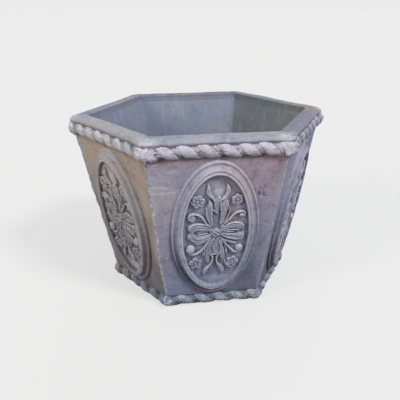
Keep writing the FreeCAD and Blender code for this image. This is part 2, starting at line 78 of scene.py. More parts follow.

# Ropes: (outward radius, upward radius, apothem, level, strands a side, bend at a corner, share
# of a strand's pitch that is fat on each side of its crest, depth of the valleys, rub of the
# crests, how much fuller a corner is, dirt and painted shade in the valleys)
RIM_ROPE = (12.3, 13.2, 190, 293, 7, 9, 0.345, 3.2, 0.34, 3.4, 0.21)
BASE_ROPE = (12.5, 11.9, 134.6, 11.7, 5, 7, 0.36, 2.7, 0.30, 1.1, 0.37)
ROPE_STARTS = 2
STRAND_UPRIGHT = {"front_left": 1.15}
USUAL_UPRIGHT = 0.4
ROPE_LEDGES = (19, 283)
ROPE_SEAT_DEPTH = 9.0

OVAL_LEVEL = 151.2
OVAL_HALF_WIDTH = 72.0
OVAL_HALF_HEIGHT = 128.0
PLATE_THICKNESS = 5.0

# Welding distances of bars and of reliefs
WELD = 0.02
FINE_WELD = 0.001

# Wobble of the hand-made casting: (size of a swell, how far it moves the surface)
WOBBLE_SWELLS = ((70, 0.9), (19, 0.35))
AXIS_SHIFT = 7.3
# Cells after which a random field repeats, a power of two
LATTICE_CELLS = 256
LATTICE_GAIN = 1.6


class Lattice:
    """Smooth random field over space, the same on every run."""

    def __init__(self, seed):
        draw = np.random.default_rng(seed)
        self.order = draw.permutation(LATTICE_CELLS)
        self.slopes = draw.normal(size=(LATTICE_CELLS, 3))
        self.slopes /= np.linalg.norm(self.slopes, axis=1)[:, None]

    def at(self, points):
        """Values from about -1 to 1 at an array of points."""
        base = np.floor(points).astype(int)
        inside = points - base
        ease = inside * inside * (3 - 2 * inside)
        total = np.zeros(len(points))
        for corner in np.ndindex(2, 2, 2):
            key = 0
            for cell in (base + corner).T:
                key = self.order[(key + cell) & (LATTICE_CELLS - 1)]
            pull = np.sum(self.slopes[key] * (inside - corner), axis=1)
            weight = np.prod(np.where(corner, ease, 1 - ease), axis=1)
            total += weight * pull
        return total * LATTICE_GAIN


SWELLS = [Lattice(seed) for seed in (11, 12, 13)]
RAGGED = Lattice(21)
PITTED = Lattice(22)


def wobble(points):
    """Move points by one field that all the pieces share, so that no seam opens."""
    moved = points.copy()
    for size, reach in WOBBLE_SWELLS:
        for axis, lattice in enumerate(SWELLS):
            moved[:, axis] += reach * lattice.at(points / size + axis * AXIS_SHIFT)
    return moved


def joined(*coordinates):
    """Points from their coordinates, any of which may be a single number."""
    return np.stack(np.broadcast_arrays(*coordinates), axis=1)


def ragged(*coordinates):
    """Lumps from about -1 to 1 at places."""
    return RAGGED.at(joined(*coordinates))


def hump(value, middle, width):
    """From 1 at the middle down to 0 a few widths away."""
    return np.exp(-(((value - middle) / width) ** 2))


def spot(across, up, middle_across, middle_up, half_width, half_height):
    """Soft patch: 1 at its middle, down to 0 a few half widths away."""
    off = ((across - middle_across) / half_width) ** 2
    return np.exp(-off - ((up - middle_up) / half_height) ** 2)


def fade(away, strength, reach):
    """From its full strength at an edge down to 0 a few reaches away."""
    return strength * np.exp(-away / reach)


def ramp(value, start, end):
    """From 0 at the start to 1 at the end, and steady beyond them."""
    return np.clip((value - start) / (end - start), 0, 1)


def dome(off, fullness):
    """Section of a rounded body: 1 in its middle, 0 from its edge, where off is 1."""
    return np.sqrt(np.maximum(1 - off**fullness, 0))


def inside_box(points):
    """Keep points inside the box of the solids."""
    low, high = (np.array(list(corner)) / MM for corner in CAD_BOX)
    return np.clip(points, low, high)


def turned(points, turn):
    """Turn points about the centre axis."""
    cosine, sine = cos(radians(turn)), sin(radians(turn))
    across = points[:, 0] * cosine - points[:, 1] * sine
    out = points[:, 0] * sine + points[:, 1] * cosine
    return joined(across, out, points[:, 2])


def side_turn(side):
    """Turn from the back side to a side."""
    return SIDES.index(side) * SIDE_TURN - 180.0


def side_out(side):
    """Outward direction of a side."""
    turn = radians(side_turn(side))
    return np.array([-sin(turn), cos(turn), 0.0])


def corner_turn(corner):
    """Turn from the corner on +X to a corner."""
    return CORNERS.index(corner) * SIDE_TURN


def wall_face(level):
    """Apothem of the outer wall face."""
    return FOOT_APOTHEM + LEAN * level


def rounded_run(share, apothem, radius):
    """Place along a side whose corners are rounded: share runs from -1 to 1."""
    straight = apothem * TAN_HALF - radius * TAN_HALF
    along = share * (straight + radius / 2)
    past = np.maximum(np.abs(along) - straight, 0)
    drop = radius - np.sqrt(np.maximum(radius * radius - past * past, 0))
    return along, apothem - drop


def grid(columns, rows):
    """Grid sheet and the two shares, from 0 to 1, of each of its points."""
    sheet = bmesh.new()
    bmesh.ops.create_grid(sheet, x_segments=columns, y_segments=rows, size=0.5)
    shares = np.array([point.co[:2] for point in sheet.verts]) + 0.5
    return sheet, shares[:, 0], shares[:, 1]


def put(sheet, points, **marks):
    """Move each point of a sheet to its place in millimetres and mark its wear and painted shading.
    """
    for point, place in zip(sheet.verts, points * MM):
        point.co = place
    for name, values in marks.items():
        layer = sheet.verts.layers.float.new(name)
        for point, value in zip(sheet.verts, np.broadcast_to(values, len(points))):
            point[layer] = value


def close_ends(sheet, welded):
    """Weld the sheet where its edges meet and fill the open ends."""
    bmesh.ops.remove_doubles(sheet, verts=sheet.verts, dist=welded * MM)
    rim = [edge for edge in sheet.edges if edge.is_boundary]
    if rim:
        bmesh.ops.holes_fill(sheet, edges=rim, sides=0)
    bmesh.ops.recalc_face_normals(sheet, faces=sheet.faces)


def new_points(result):
    """Points that an operator made."""
    return [item for item in result["geom"] if isinstance(item, bmesh.types.BMVert)]


def mesh_of(name, sheet):
    """Mesh made of a sheet, which ends there."""
    mesh = bpy.data.meshes.new(name)
    sheet.to_mesh(mesh)
    sheet.free()
    return mesh


def linked(name, data):
    """Object in the scene that shows a mesh, lamp or camera."""
    item = bpy.data.objects.new(name, data)
    bpy.context.collection.objects.link(item)
    return item


def make_piece(name, sheet, material, nodes):
    """Turn a sheet into a piece that stands for CAD nodes."""
    mesh = mesh_of(name, sheet)
    mesh.polygons.foreach_set("use_smooth", [True] * len(mesh.polygons))
    mesh.materials.append(material)
    piece = linked(name, mesh)
    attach(piece, "root")
    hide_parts(*nodes)


def swept(columns, rows, place, turn):
    """Closed bar: place gives local points and marks from the shares along it and round it."""
    sheet, along, around = grid(columns, rows)
    points, marks = place(along, around)
    put(sheet, inside_box(wobble(turned(points, turn))), **marks)
    close_ends(sheet, WELD)
    return sheet


# Walls

PANEL_COLUMNS = 90
PANEL_ROWS = 120
SHARP_RADIUS = 0.01
CHIP_SIZE = 9.0
CHIP_START = 0.45
CHIP_DEPTH = 0.9
# Pitted patch on the front: (across, up from the medallion's middle, half width)
PITTED_PATCH = (72, 68, 13)
PATCH_SPREAD = 1.6
POCK_SIZE = 4.5
POCK_SHIFT = 3.7
POCK_START = 0.1
POCK_DEPTH = 4.0
# How much darker the pocks are
POCK_DARKENING = 1.7
# Pale smear that a trowel left on the front: (across, level, half width, half height)
SMEAR = (-88, 256, 34, 40)
SMEAR_DUST = 1.3
# Gap between a rope's ledge and its painted shade: base rope, rim rope
LEDGE_GAPS = (3, 2)
# Painted shadow under the rim rope and painted shade over the base rope, and rub beside the corners:
# (strength, reach)
RIM_SHADOW = (0.5, 2.2)
FOOT_SHADE = (0.35, 6)
CORNER_RUB = (0.30, 8)
# Painted shadow of the ring on its wall: all round, more on the side away from the light, reach
RING_SHADOW = (0.12, 0.8, 3.4)
RUST_REACH = 6.0
# Painted shade inside: darker towards the floor, and beside the corner that is on the left from
# inside
DEEP_SHADE = 0.8
CORNER_SHADE = {"back_left": 0.5}
CORNER_SHADE_REACH = 45.0
# Way from the middle of a medallion to the side that its painted light comes from; the ring's inner
# edge gets painted shadow there
LIGHT_TURN = {"front": 52.0, "front_right": 55.0, "front_left": 145.0}
USUAL_LIGHT_TURN = 90.0
# Patches on a wall: (across, level, size, how dirty, or how dusty where it is below zero)
PATCHES = {
    "front": ((70, 50, 42, 0.40), (-88, 225, 34, -0.30), (-60, 30, 30, -0.20)),
    "front_left": ((-110, 190, 38, 0.30), (86, 120, 30, -0.30)),
    "front_right": ((-60, 40, 34, 0.35),),
}
# Rust-brown patches in the same form
STAINS = {"front": ((84, 250, 40, 0.36),)}


def facing(side, across, up):
    """From 1 on the side of a medallion that its painted light comes from to -1 on its other side."""
    turn = radians(LIGHT_TURN.get(side, USUAL_LIGHT_TURN))
    away = np.maximum(np.hypot(across, up), 1e-9)
    return (across * cos(turn) + up * sin(turn)) / away


def patches(table, side, across, level):
    """Sum of a side's soft patches at places on its wall."""
    rows = table.get(side, ())
    return sum(much * spot(across, level, x, y, size, size) for x, y, size, much in rows)


def panel_wear(side, across, level):
    """Wear and painted shade of a wall's face: painted shade beside the ring and the ropes, patches,
    rubbed corners and rust-brown under the rim.
    """
    up = (level - OVAL_LEVEL) * hypot(LEAN, 1)
    steep = np.hypot(across / OVAL_HALF_WIDTH**2, up / OVAL_HALF_HEIGHT**2)
    off = np.hypot(across / OVAL_HALF_WIDTH, up / OVAL_HALF_HEIGHT)
    beside = np.maximum((off - 1) * off / np.maximum(steep, 1e-9), 0)
    lit_side = facing(side, across / OVAL_HALF_WIDTH, up / OVAL_HALF_HEIGHT)
    least, more, reach = RING_SHADOW
    shade = least + more * np.maximum(-lit_side, 0) ** 2
    under = np.maximum(ROPE_LEDGES[1] - LEDGE_GAPS[1] - level, 0)
    over = np.maximum(level - ROPE_LEDGES[0] - LEDGE_GAPS[0], 0)
    fringe = wall_face(level) * TAN_HALF - np.abs(across)
    shade_and_dirt = fade(beside, shade, reach) + fade(under, *RIM_SHADOW)
    shade_and_dirt = shade_and_dirt + fade(over, *FOOT_SHADE) - fade(fringe, *CORNER_RUB)
    shade_and_dirt = shade_and_dirt + patches(PATCHES, side, across, level)
    stain = fade(under, 1.0, RUST_REACH) + patches(STAINS, side, across, level)
    return -np.clip(shade_and_dirt, -1, 1), np.minimum(stain, 1)


def wall_panel(side, material):
    """Leaning wall: a dense outer face, set back behind the ropes, and the inner face."""
    sheet, shares, up = grid(PANEL_COLUMNS, PANEL_ROWS)
    level = up * BED_LEVEL
    behind = (level < ROPE_LEDGES[0]) | (level > ROPE_LEDGES[1])
    face = wall_face(level) - ROPE_SEAT_DEPTH * behind
    run, out = rounded_run(shares * 2 - 1, face, WALL_CORNER_RADIUS)
    front = wobble(turned(joined(run, out, level), side_turn(side)))
    dents = np.maximum(PITTED.at(front / CHIP_SIZE) - CHIP_START, 0) * CHIP_DEPTH
    worn, stained = panel_wear(side, -run, level)
    if side == "front":
        away = np.hypot(-run - PITTED_PATCH[0], level - OVAL_LEVEL - PITTED_PATCH[1])
        patch = np.clip(PATCH_SPREAD - away / PITTED_PATCH[2], 0, 1)
        pocks = np.maximum(PITTED.at(front / POCK_SIZE + POCK_SHIFT) - POCK_START, 0) * patch
        dents += pocks * POCK_DEPTH
        streaks = np.clip(ragged(run / 34, level / 6, 0) + 0.05, 0, 1)
        worn = worn + SMEAR_DUST * streaks * spot(-run, level, *SMEAR) - POCK_DARKENING * pocks
    front -= dents[:, None] * side_out(side)
    put(sheet, inside_box(front), worn=worn, stained=stained, inner=0.0)
    face = wall_face(level) - WALL_THICKNESS
    run, out = rounded_run(shares * 2 - 1, face, SHARP_RADIUS)
    back = inside_box(wobble(turned(joined(run, out, level), side_turn(side))))
    # Inside, painted shade darkens the wall towards the floor and beside one corner
    corner_shade = fade(face * TAN_HALF + run, CORNER_SHADE.get(side, 0.0), CORNER_SHADE_REACH)
    deep = DEEP_SHADE * (1 - level / BED_LEVEL) + corner_shade
    fresh = new_points(bmesh.ops.extrude_face_region(sheet, geom=sheet.faces[:]))
    layers = sheet.verts.layers.float
    for point, place, low in zip(fresh, back * MM, deep):
        point.co = place
        point[layers["worn"]] = -low
        point[layers["stained"]] = 0.0
        point[layers["inner"]] = 1.0
    bmesh.ops.recalc_face_normals(sheet, faces=sheet.faces)
    make_piece("panel_" + side, sheet, material, ["wall_panel_" + side])


# Coping

COPING_PROFILE = (
    # (apothem, level, corner radius, wear with painted shade under the nose, share of the inside's
    # tone), from the lap over the wall inside, over the top and the nose, down to the bed of the rope
    # and back under
    (171.8, 299, 1, -0.1, 1),
    (170.5, 300.2, 1, -0.1, 1),
    (170.7, 306, 1, -0.2, 1),
    (171.4, 310.6, 1.2, -0.45, 0.9),
    (172.4, 312.7, 1.6, 0.05, 0.4),
    (174.4, 313.8, 2.4, 0.1, 0),
    (178, 313.8, 4, 0, 0),
    (184, 313.6, 7, 0, 0),
    (189, 313.1, 10, 0.05, 0),
    (192, 312, 13, 0.15, 0),
    (194.6, 310.1, 14, 0.2, 0),
    (196.4, 308, 14, 0.25, 0),
    (197.3, 306.2, 14, 0.25, 0),
    (197.3, 305.2, 13, -0.2, 0),
    (196.6, 303.6, 12, -0.45, 0),
    (195.8, 300, 11, -0.6, 0),
    (195.4, 297, 10, -0.8, 0),
    (186, 296, 6, -0.8, 0),
    (176, 297, 3, -0.5, 0),
)
COPING_STEPS = 64
COPING_COLUMNS = 130
COPING_LUMPS = 0.9
# How much fuller the nose is at a corner, and how far that reaches
COPING_FULLER = 2.6
COPING_BULGE = 20.0
# Apothems between which the nose comes in, and between which corners are rubbed
NOSE = (186, 194)
RUBBED_TOP = (178, 190)
COPING_CHIP_START = 0.25
COPING_CHIP_DEPTH = 2.2


def closed_profile(profile, shares):
    """Columns of a closed profile at shares of its way round."""
    table = np.array(profile + profile[:1])
    steps = np.linalg.norm(np.diff(table[:, :2], axis=0), axis=1)
    lengths = np.concatenate([[0], np.cumsum(steps)])
    at = np.clip(shares, 0, 1) * lengths[-1]
    return [np.interp(at, lengths, table[:, column]) for column in range(table.shape[1])]


def coping(side, material):
    """Coping length: a lip inside, a nearly flat top and a lumpy bevelled nose over the rope."""

    def place(along, around):
        out, level, radius, worn, inner = closed_profile(COPING_PROFILE, around)
        run, apothem = rounded_run(along * 2 - 1, out, radius)
        chips = ragged(run / 6, apothem / 5, level / 5)
        lumps = ragged(run / 17, apothem / 13, level / 9 + side_turn(side))
        bulge = hump(np.abs(run), out * TAN_HALF, COPING_BULGE)
        fuller = ramp(out, *NOSE) * (COPING_LUMPS * lumps * (1 - bulge) + COPING_FULLER * bulge)
        run, apothem = run + fuller * TAN_HALF * (along * 2 - 1), apothem + fuller
        chipped = np.maximum(chips - COPING_CHIP_START, 0) * COPING_CHIP_DEPTH
        level = level - chipped * np.clip(worn, 0, 1)
        worn = worn + (0.45 + 0.5 * chips) * bulge * ramp(out, *RUBBED_TOP)
        return joined(run, apothem, level), {"worn": worn, "inner": inner}

    sheet = swept(COPING_COLUMNS, COPING_STEPS, place, side_turn(side))
    make_piece("coping_" + side, sheet, material, ["coping_" + side])


# Ropes

ROPE_ROWS = 72
ROPE_STEPS = 40
PILLOW_FALL_SHARE = 0.6
PILLOW_FULLNESS = 2.4
PILLOW_EDGE = 0.011
# Thin strand in each valley
RIDGE_PLACE = 0.54
RIDGE_WIDTH = 0.030
RIDGE_RISE_SHARE = 0.45
FAT_CHANGE = 0.10
ROPE_LUMPS = 1.3
LUMP_ROOM = 0.9
KNOB_RISE = 0.35
CORNER_KNOB_RISE = 0.7
# How far a corner's fullness reaches, and the mitre's smaller knobs
ROPE_BULGE = 16.0
MITRE_REACH = 4.0


def strand_depth(phase, fat_share, valley_depth):
    """How deep the rope's surface lies below its round envelope, by strand phase."""
    off = np.abs(phase - np.round(phase))
    falling = (np.minimum(off, fat_share) / fat_share) ** PILLOW_FULLNESS
    fat = PILLOW_FALL_SHARE * valley_depth * falling
    edge = 1 / (1 + np.exp(-(off - fat_share) / PILLOW_EDGE))
    valley = fat * (1 - edge) + valley_depth * edge
    ridge = hump(off, (fat_share + RIDGE_PLACE) / 2, RIDGE_WIDTH)
    return valley - RIDGE_RISE_SHARE * valley_depth * ridge


def rope(name, side, sizes, material):
    """Twisted rope moulding that bends round half of both corners."""
    outward, upward, apothem, level, strands, radius, fat_share, valley_depth, *wear = sizes
    rub, fuller, dirt_and_shade = wear
    at_rim = level > OVAL_LEVEL
    own = side_turn(side)
    upright = STRAND_UPRIGHT.get(side, USUAL_UPRIGHT)
    straight = (apothem - radius) * TAN_HALF
    half = straight + radians(SIDE_TURN / 2) * radius
    pitch = 2 * half / strands

    def place(along, around):
        run = (along * 2 - 1) * half
        past = np.maximum(np.abs(run) - straight, 0) / radius
        angle = around * TURN
        outer, upper = np.cos(angle), np.sin(angle)
        turns = ROPE_STARTS * around - upright * upper / TURN
        strand = np.floor(run / pitch - turns + 1.0)
        uneven = ragged(strand * 3.7, own, strand * 1.3 + level)
        fat = fat_share * (1 + FAT_CHANGE * np.cos(angle + 1.0) + FAT_CHANGE * uneven)
        valley = strand_depth(run / pitch - turns + 0.5, fat, valley_depth)
        lumps = ragged(run / 11, outer + own, upper)
        knobs = ragged(run / 3, 3.9 * outer + own, 3.9 * upper)
        bulge = hump(np.abs(run), half, ROPE_BULGE)
        more = CORNER_KNOB_RISE * fuller * bulge * ramp(half - np.abs(run), 0, MITRE_REACH)
        depth = valley * (1 - 0.45 * bulge) + LUMP_ROOM - ROPE_LUMPS * lumps
        depth = depth - knobs * (KNOB_RISE + more)
        depth = depth - fuller * bulge * np.clip(np.cos(angle + 0.5), 0, 1)
        centre_run = np.minimum(np.abs(run), straight) + radius * np.sin(past)
        centre_out = apothem - radius * (1 - np.cos(past))
        out = (outward - depth) * outer
        across = np.sign(run) * (centre_run + out * np.sin(past))
        points = joined(across, centre_out + out * np.cos(past), level + (upward - depth) * upper)
        # The underside of a rope is darkened as painted shade, and the rim rope's also gets a
        # rust-brown stain; the valleys are darkened with dirt and painted shade
        under = np.clip(-0.35 - upper, 0, 1)
        worn = rub - dirt_and_shade * valley - (0.5 if at_rim else 0.85) * under - 0.2 * uneven
        worn = worn + 0.4 * lumps + knobs * (0.4 + 0.5 * bulge) + 0.25 * bulge * at_rim
        return points, {"worn": np.clip(worn, -1, 0.7), "stained": 1.3 * under * at_rim}

    sheet = swept(strands * ROPE_STEPS, ROPE_ROWS, place, own)
    make_piece(name + "_" + side, sheet, material, [name + "_" + side])


# Medallions

RING_PROFILE = (
    # (inset share, height over the wall, wear with painted shade at the feet and in the groove and
    # painted highlight on the crests), from the wall over the ring, down to the field and back under
    (-0.050, -1.5, -0.8),
    (-0.015, 0.8, -0.7),
    (0.015, 3, 0),
    (0.070, 4.6, 0.35),
    (0.140, 4.7, 0.3),
    (0.200, 3.6, 0),
    (0.320, 3.2, -0.1),
    (0.440, 3.4, -0.3),
    (0.490, 5, -0.2),
    (0.540, 8.6, 0.1),
    (0.600, 10.4, 0.3),
    (0.670, 10.8, 0.25),
    (0.745, 9.5, -0.05),
    (0.810, 10.3, 0.15),
    (0.880, 11.5, 0.5),
    (0.940, 11.5, 0.5),
    (0.985, 9.8, 0.2),
    (1.000, 6.4, -0.4),
    (1.005, 3.5, -1),
    (0.740, -1.5, -1),
)
# Width of the ring at the oval's sides and at its ends
RING_WIDTHS = (18.8, 21)
RING_LUMPS = 0.7
# Outer flank and inner crest of the ring, which take painted shade and highlight: (inset share,
# width)
RING_FLANK = (0.20, 0.22)
RING_CREST = (0.82, 0.20)
# How dark the painted shade on the outer flank of a side's ring is where it is darkest
FLANK_SHADE = {"front": 0.75, "front_right": 0.6}
USUAL_FLANK_SHADE = 0.35
RING_COLUMNS = 300
RING_STEPS = 64


def on_wall(across, up, height):
    """Local point from a place on a medallion: across to the viewer's right, up the wall, out."""
    length = hypot(LEAN, 1)
    sine, cosine = LEAN / length, 1 / length
    out = wall_face(OVAL_LEVEL) + up * sine + height * cosine
    level = OVAL_LEVEL + up * cosine - height * sine
    return joined(-across, out, level)


def ring(side, material):
    """Oval frame: a thin outer ridge, a groove and two rounded crests, worn unevenly, with painted
    light and shade.
    """

    def place(around, across):
        inset, height, worn = closed_profile(RING_PROFILE, across)
        right, up = np.cos(around * TURN), np.sin(around * TURN)
        lumps = ragged(right * 6, up * 9, inset * 2 + side_turn(side))
        height = height + RING_LUMPS * lumps * (height > 2)
        # Painted light and shade by the side the light comes from: painted shadow on the inner edge
        # towards it; painted shade on the outer edge, in the groove and on the flank away from it,
        # where the crest gets a painted highlight and the flank a brown tint; and random mottle
        toward_light = facing(side, right, up)
        away = np.maximum(-toward_light, 0)
        flank, crest = hump(inset, *RING_FLANK), hump(inset, *RING_CREST)
        worn = np.where(inset > 0.95, worn * (0.5 + 0.5 * toward_light) - 0.2 * toward_light * (worn < 0), worn)
        worn = np.where(inset < 0.02, worn * (0.15 + 0.85 * away**2), worn)
        groove = (inset > 0.17) & (inset < 0.5) & (worn < 0)
        worn = np.where(groove, worn * (0.2 + 0.8 * away**3), worn)
        flank_shade = FLANK_SHADE.get(side, USUAL_FLANK_SHADE) * flank * away**4
        worn = worn + 0.5 * crest * away - flank_shade + 0.3 * ragged(right * 17, up * 30, inset * 5)
        right = (OVAL_HALF_WIDTH - inset * RING_WIDTHS[0]) * right
        up = (OVAL_HALF_HEIGHT - inset * RING_WIDTHS[1]) * up
        return on_wall(right, up, height), {"worn": worn, "stained": 0.4 * flank * away**4}

    sheet = swept(RING_COLUMNS, RING_STEPS, place, side_turn(side))
    nodes = ["oval_medallion_" + side]
    make_piece("ring_" + side, sheet, material, nodes)


# Relief ornament. A station of a stroke is (across, up, half width, height) from the middle of
# the oval, without its last numbers where they are those of the station before. Lobes are full
# bodies, ridges the thin crests that edge or flute them.

LOBES = (
    # Bow, left and right, over and under
    ((-8, 6, 2.5, 3.6), (-18, 11, 4.6, 3.8), (-30, 13.5, 6.2, 4.2), (-40, 12, 6.2, 4.8)),
    ((-10, -4, 2.5, 3.4), (-22, -8.5, 4.6, 3.6), (-34, -8, 5.6, 3.8), (-41, -4, 5.2, 4.6)),
    ((9, 6, 2.5, 3.6), (20, 11.5, 4.6, 3.8), (32, 13.5, 6, 4.2), (40, 11.5, 6.2, 5)),
    ((10, -4, 2.4, 3.2), (22, -7, 4), (32, -8, 4.6, 3.4), (40, -6.5, 5.6, 4.8)),
    # Leaves that stand above the knot
    ((-8, 16, 2.4, 3.4), (-11.5, 30, 4.4, 3.6), (-12.5, 44, 4.6), (-12, 56, 3, 3.4)),
    ((-8, 34, 1.6, 4.8), (-9, 44, 2.6, 5.2), (-10, 54, 3.4, 5.6), (-11.5, 61, 1.8, 5),
     (-12, 64, 0.8, 4)),
    ((8.5, 19, 2.4, 4.2), (10.5, 30, 3.4, 4.6), (12, 40, 4.2, 5), (12.2, 50, 5, 5.4),
     (12.8, 58, 4.6, 5.6), (13.6, 64, 2.6, 5), (14.2, 67.5, 0.9, 4.2)),
    ((0.5, 44, 4, 2.6), (0.5, 62, 4.4, 3)),
    # Horns over them
    ((-3.5, 62.5, 1.6, 4.6), (-7.5, 68, 2.2, 5.4), (-12, 73.5, 2.8, 5.8), (-14.5, 80, 3.3, 6),
     (-14.3, 86, 2.8, 5.8), (-15.2, 92.5, 1, 4.2)),
    ((5, 62, 1.6, 4.6), (9, 66.5, 2.4, 5.4), (14, 72, 3, 5.8), (16.6, 79, 3.4, 6),
     (16.2, 85.5, 2.8, 5.8), (15.4, 91, 1, 4.2)),
    # Leaves that hang below the knot
    ((0, -10, 4, 2.4), (-0.5, -20, 6.4, 2.6), (-0.3, -30, 8), (0, -38, 7.4)),
    ((-9, -14, 2.4, 3.4), (-13, -26, 3.8, 3.6), (-13, -40, 4.2, 3.4), (-11.5, -54, 3.2, 3)),
    ((8, -16, 1.8, 4), (10.4, -28, 2.8, 4.6), (11.6, -38, 3.6, 5), (12.6, -47, 3.2, 5.2),
     (13.8, -54.5, 1.2, 4.4)),
    ((-12, -69, 2.6, 5.4), (-15, -74.5, 3.8, 5.8), (-16.6, -79.5, 2.8, 5.4), (-16.2, -84.5, 1, 4)),
    ((6, -63, 1.4, 5), (10, -69, 3, 5.6), (13, -75, 3.6, 5.8), (14, -81, 2.2, 5.2),
     (14.2, -84.5, 0.9, 4)),
)
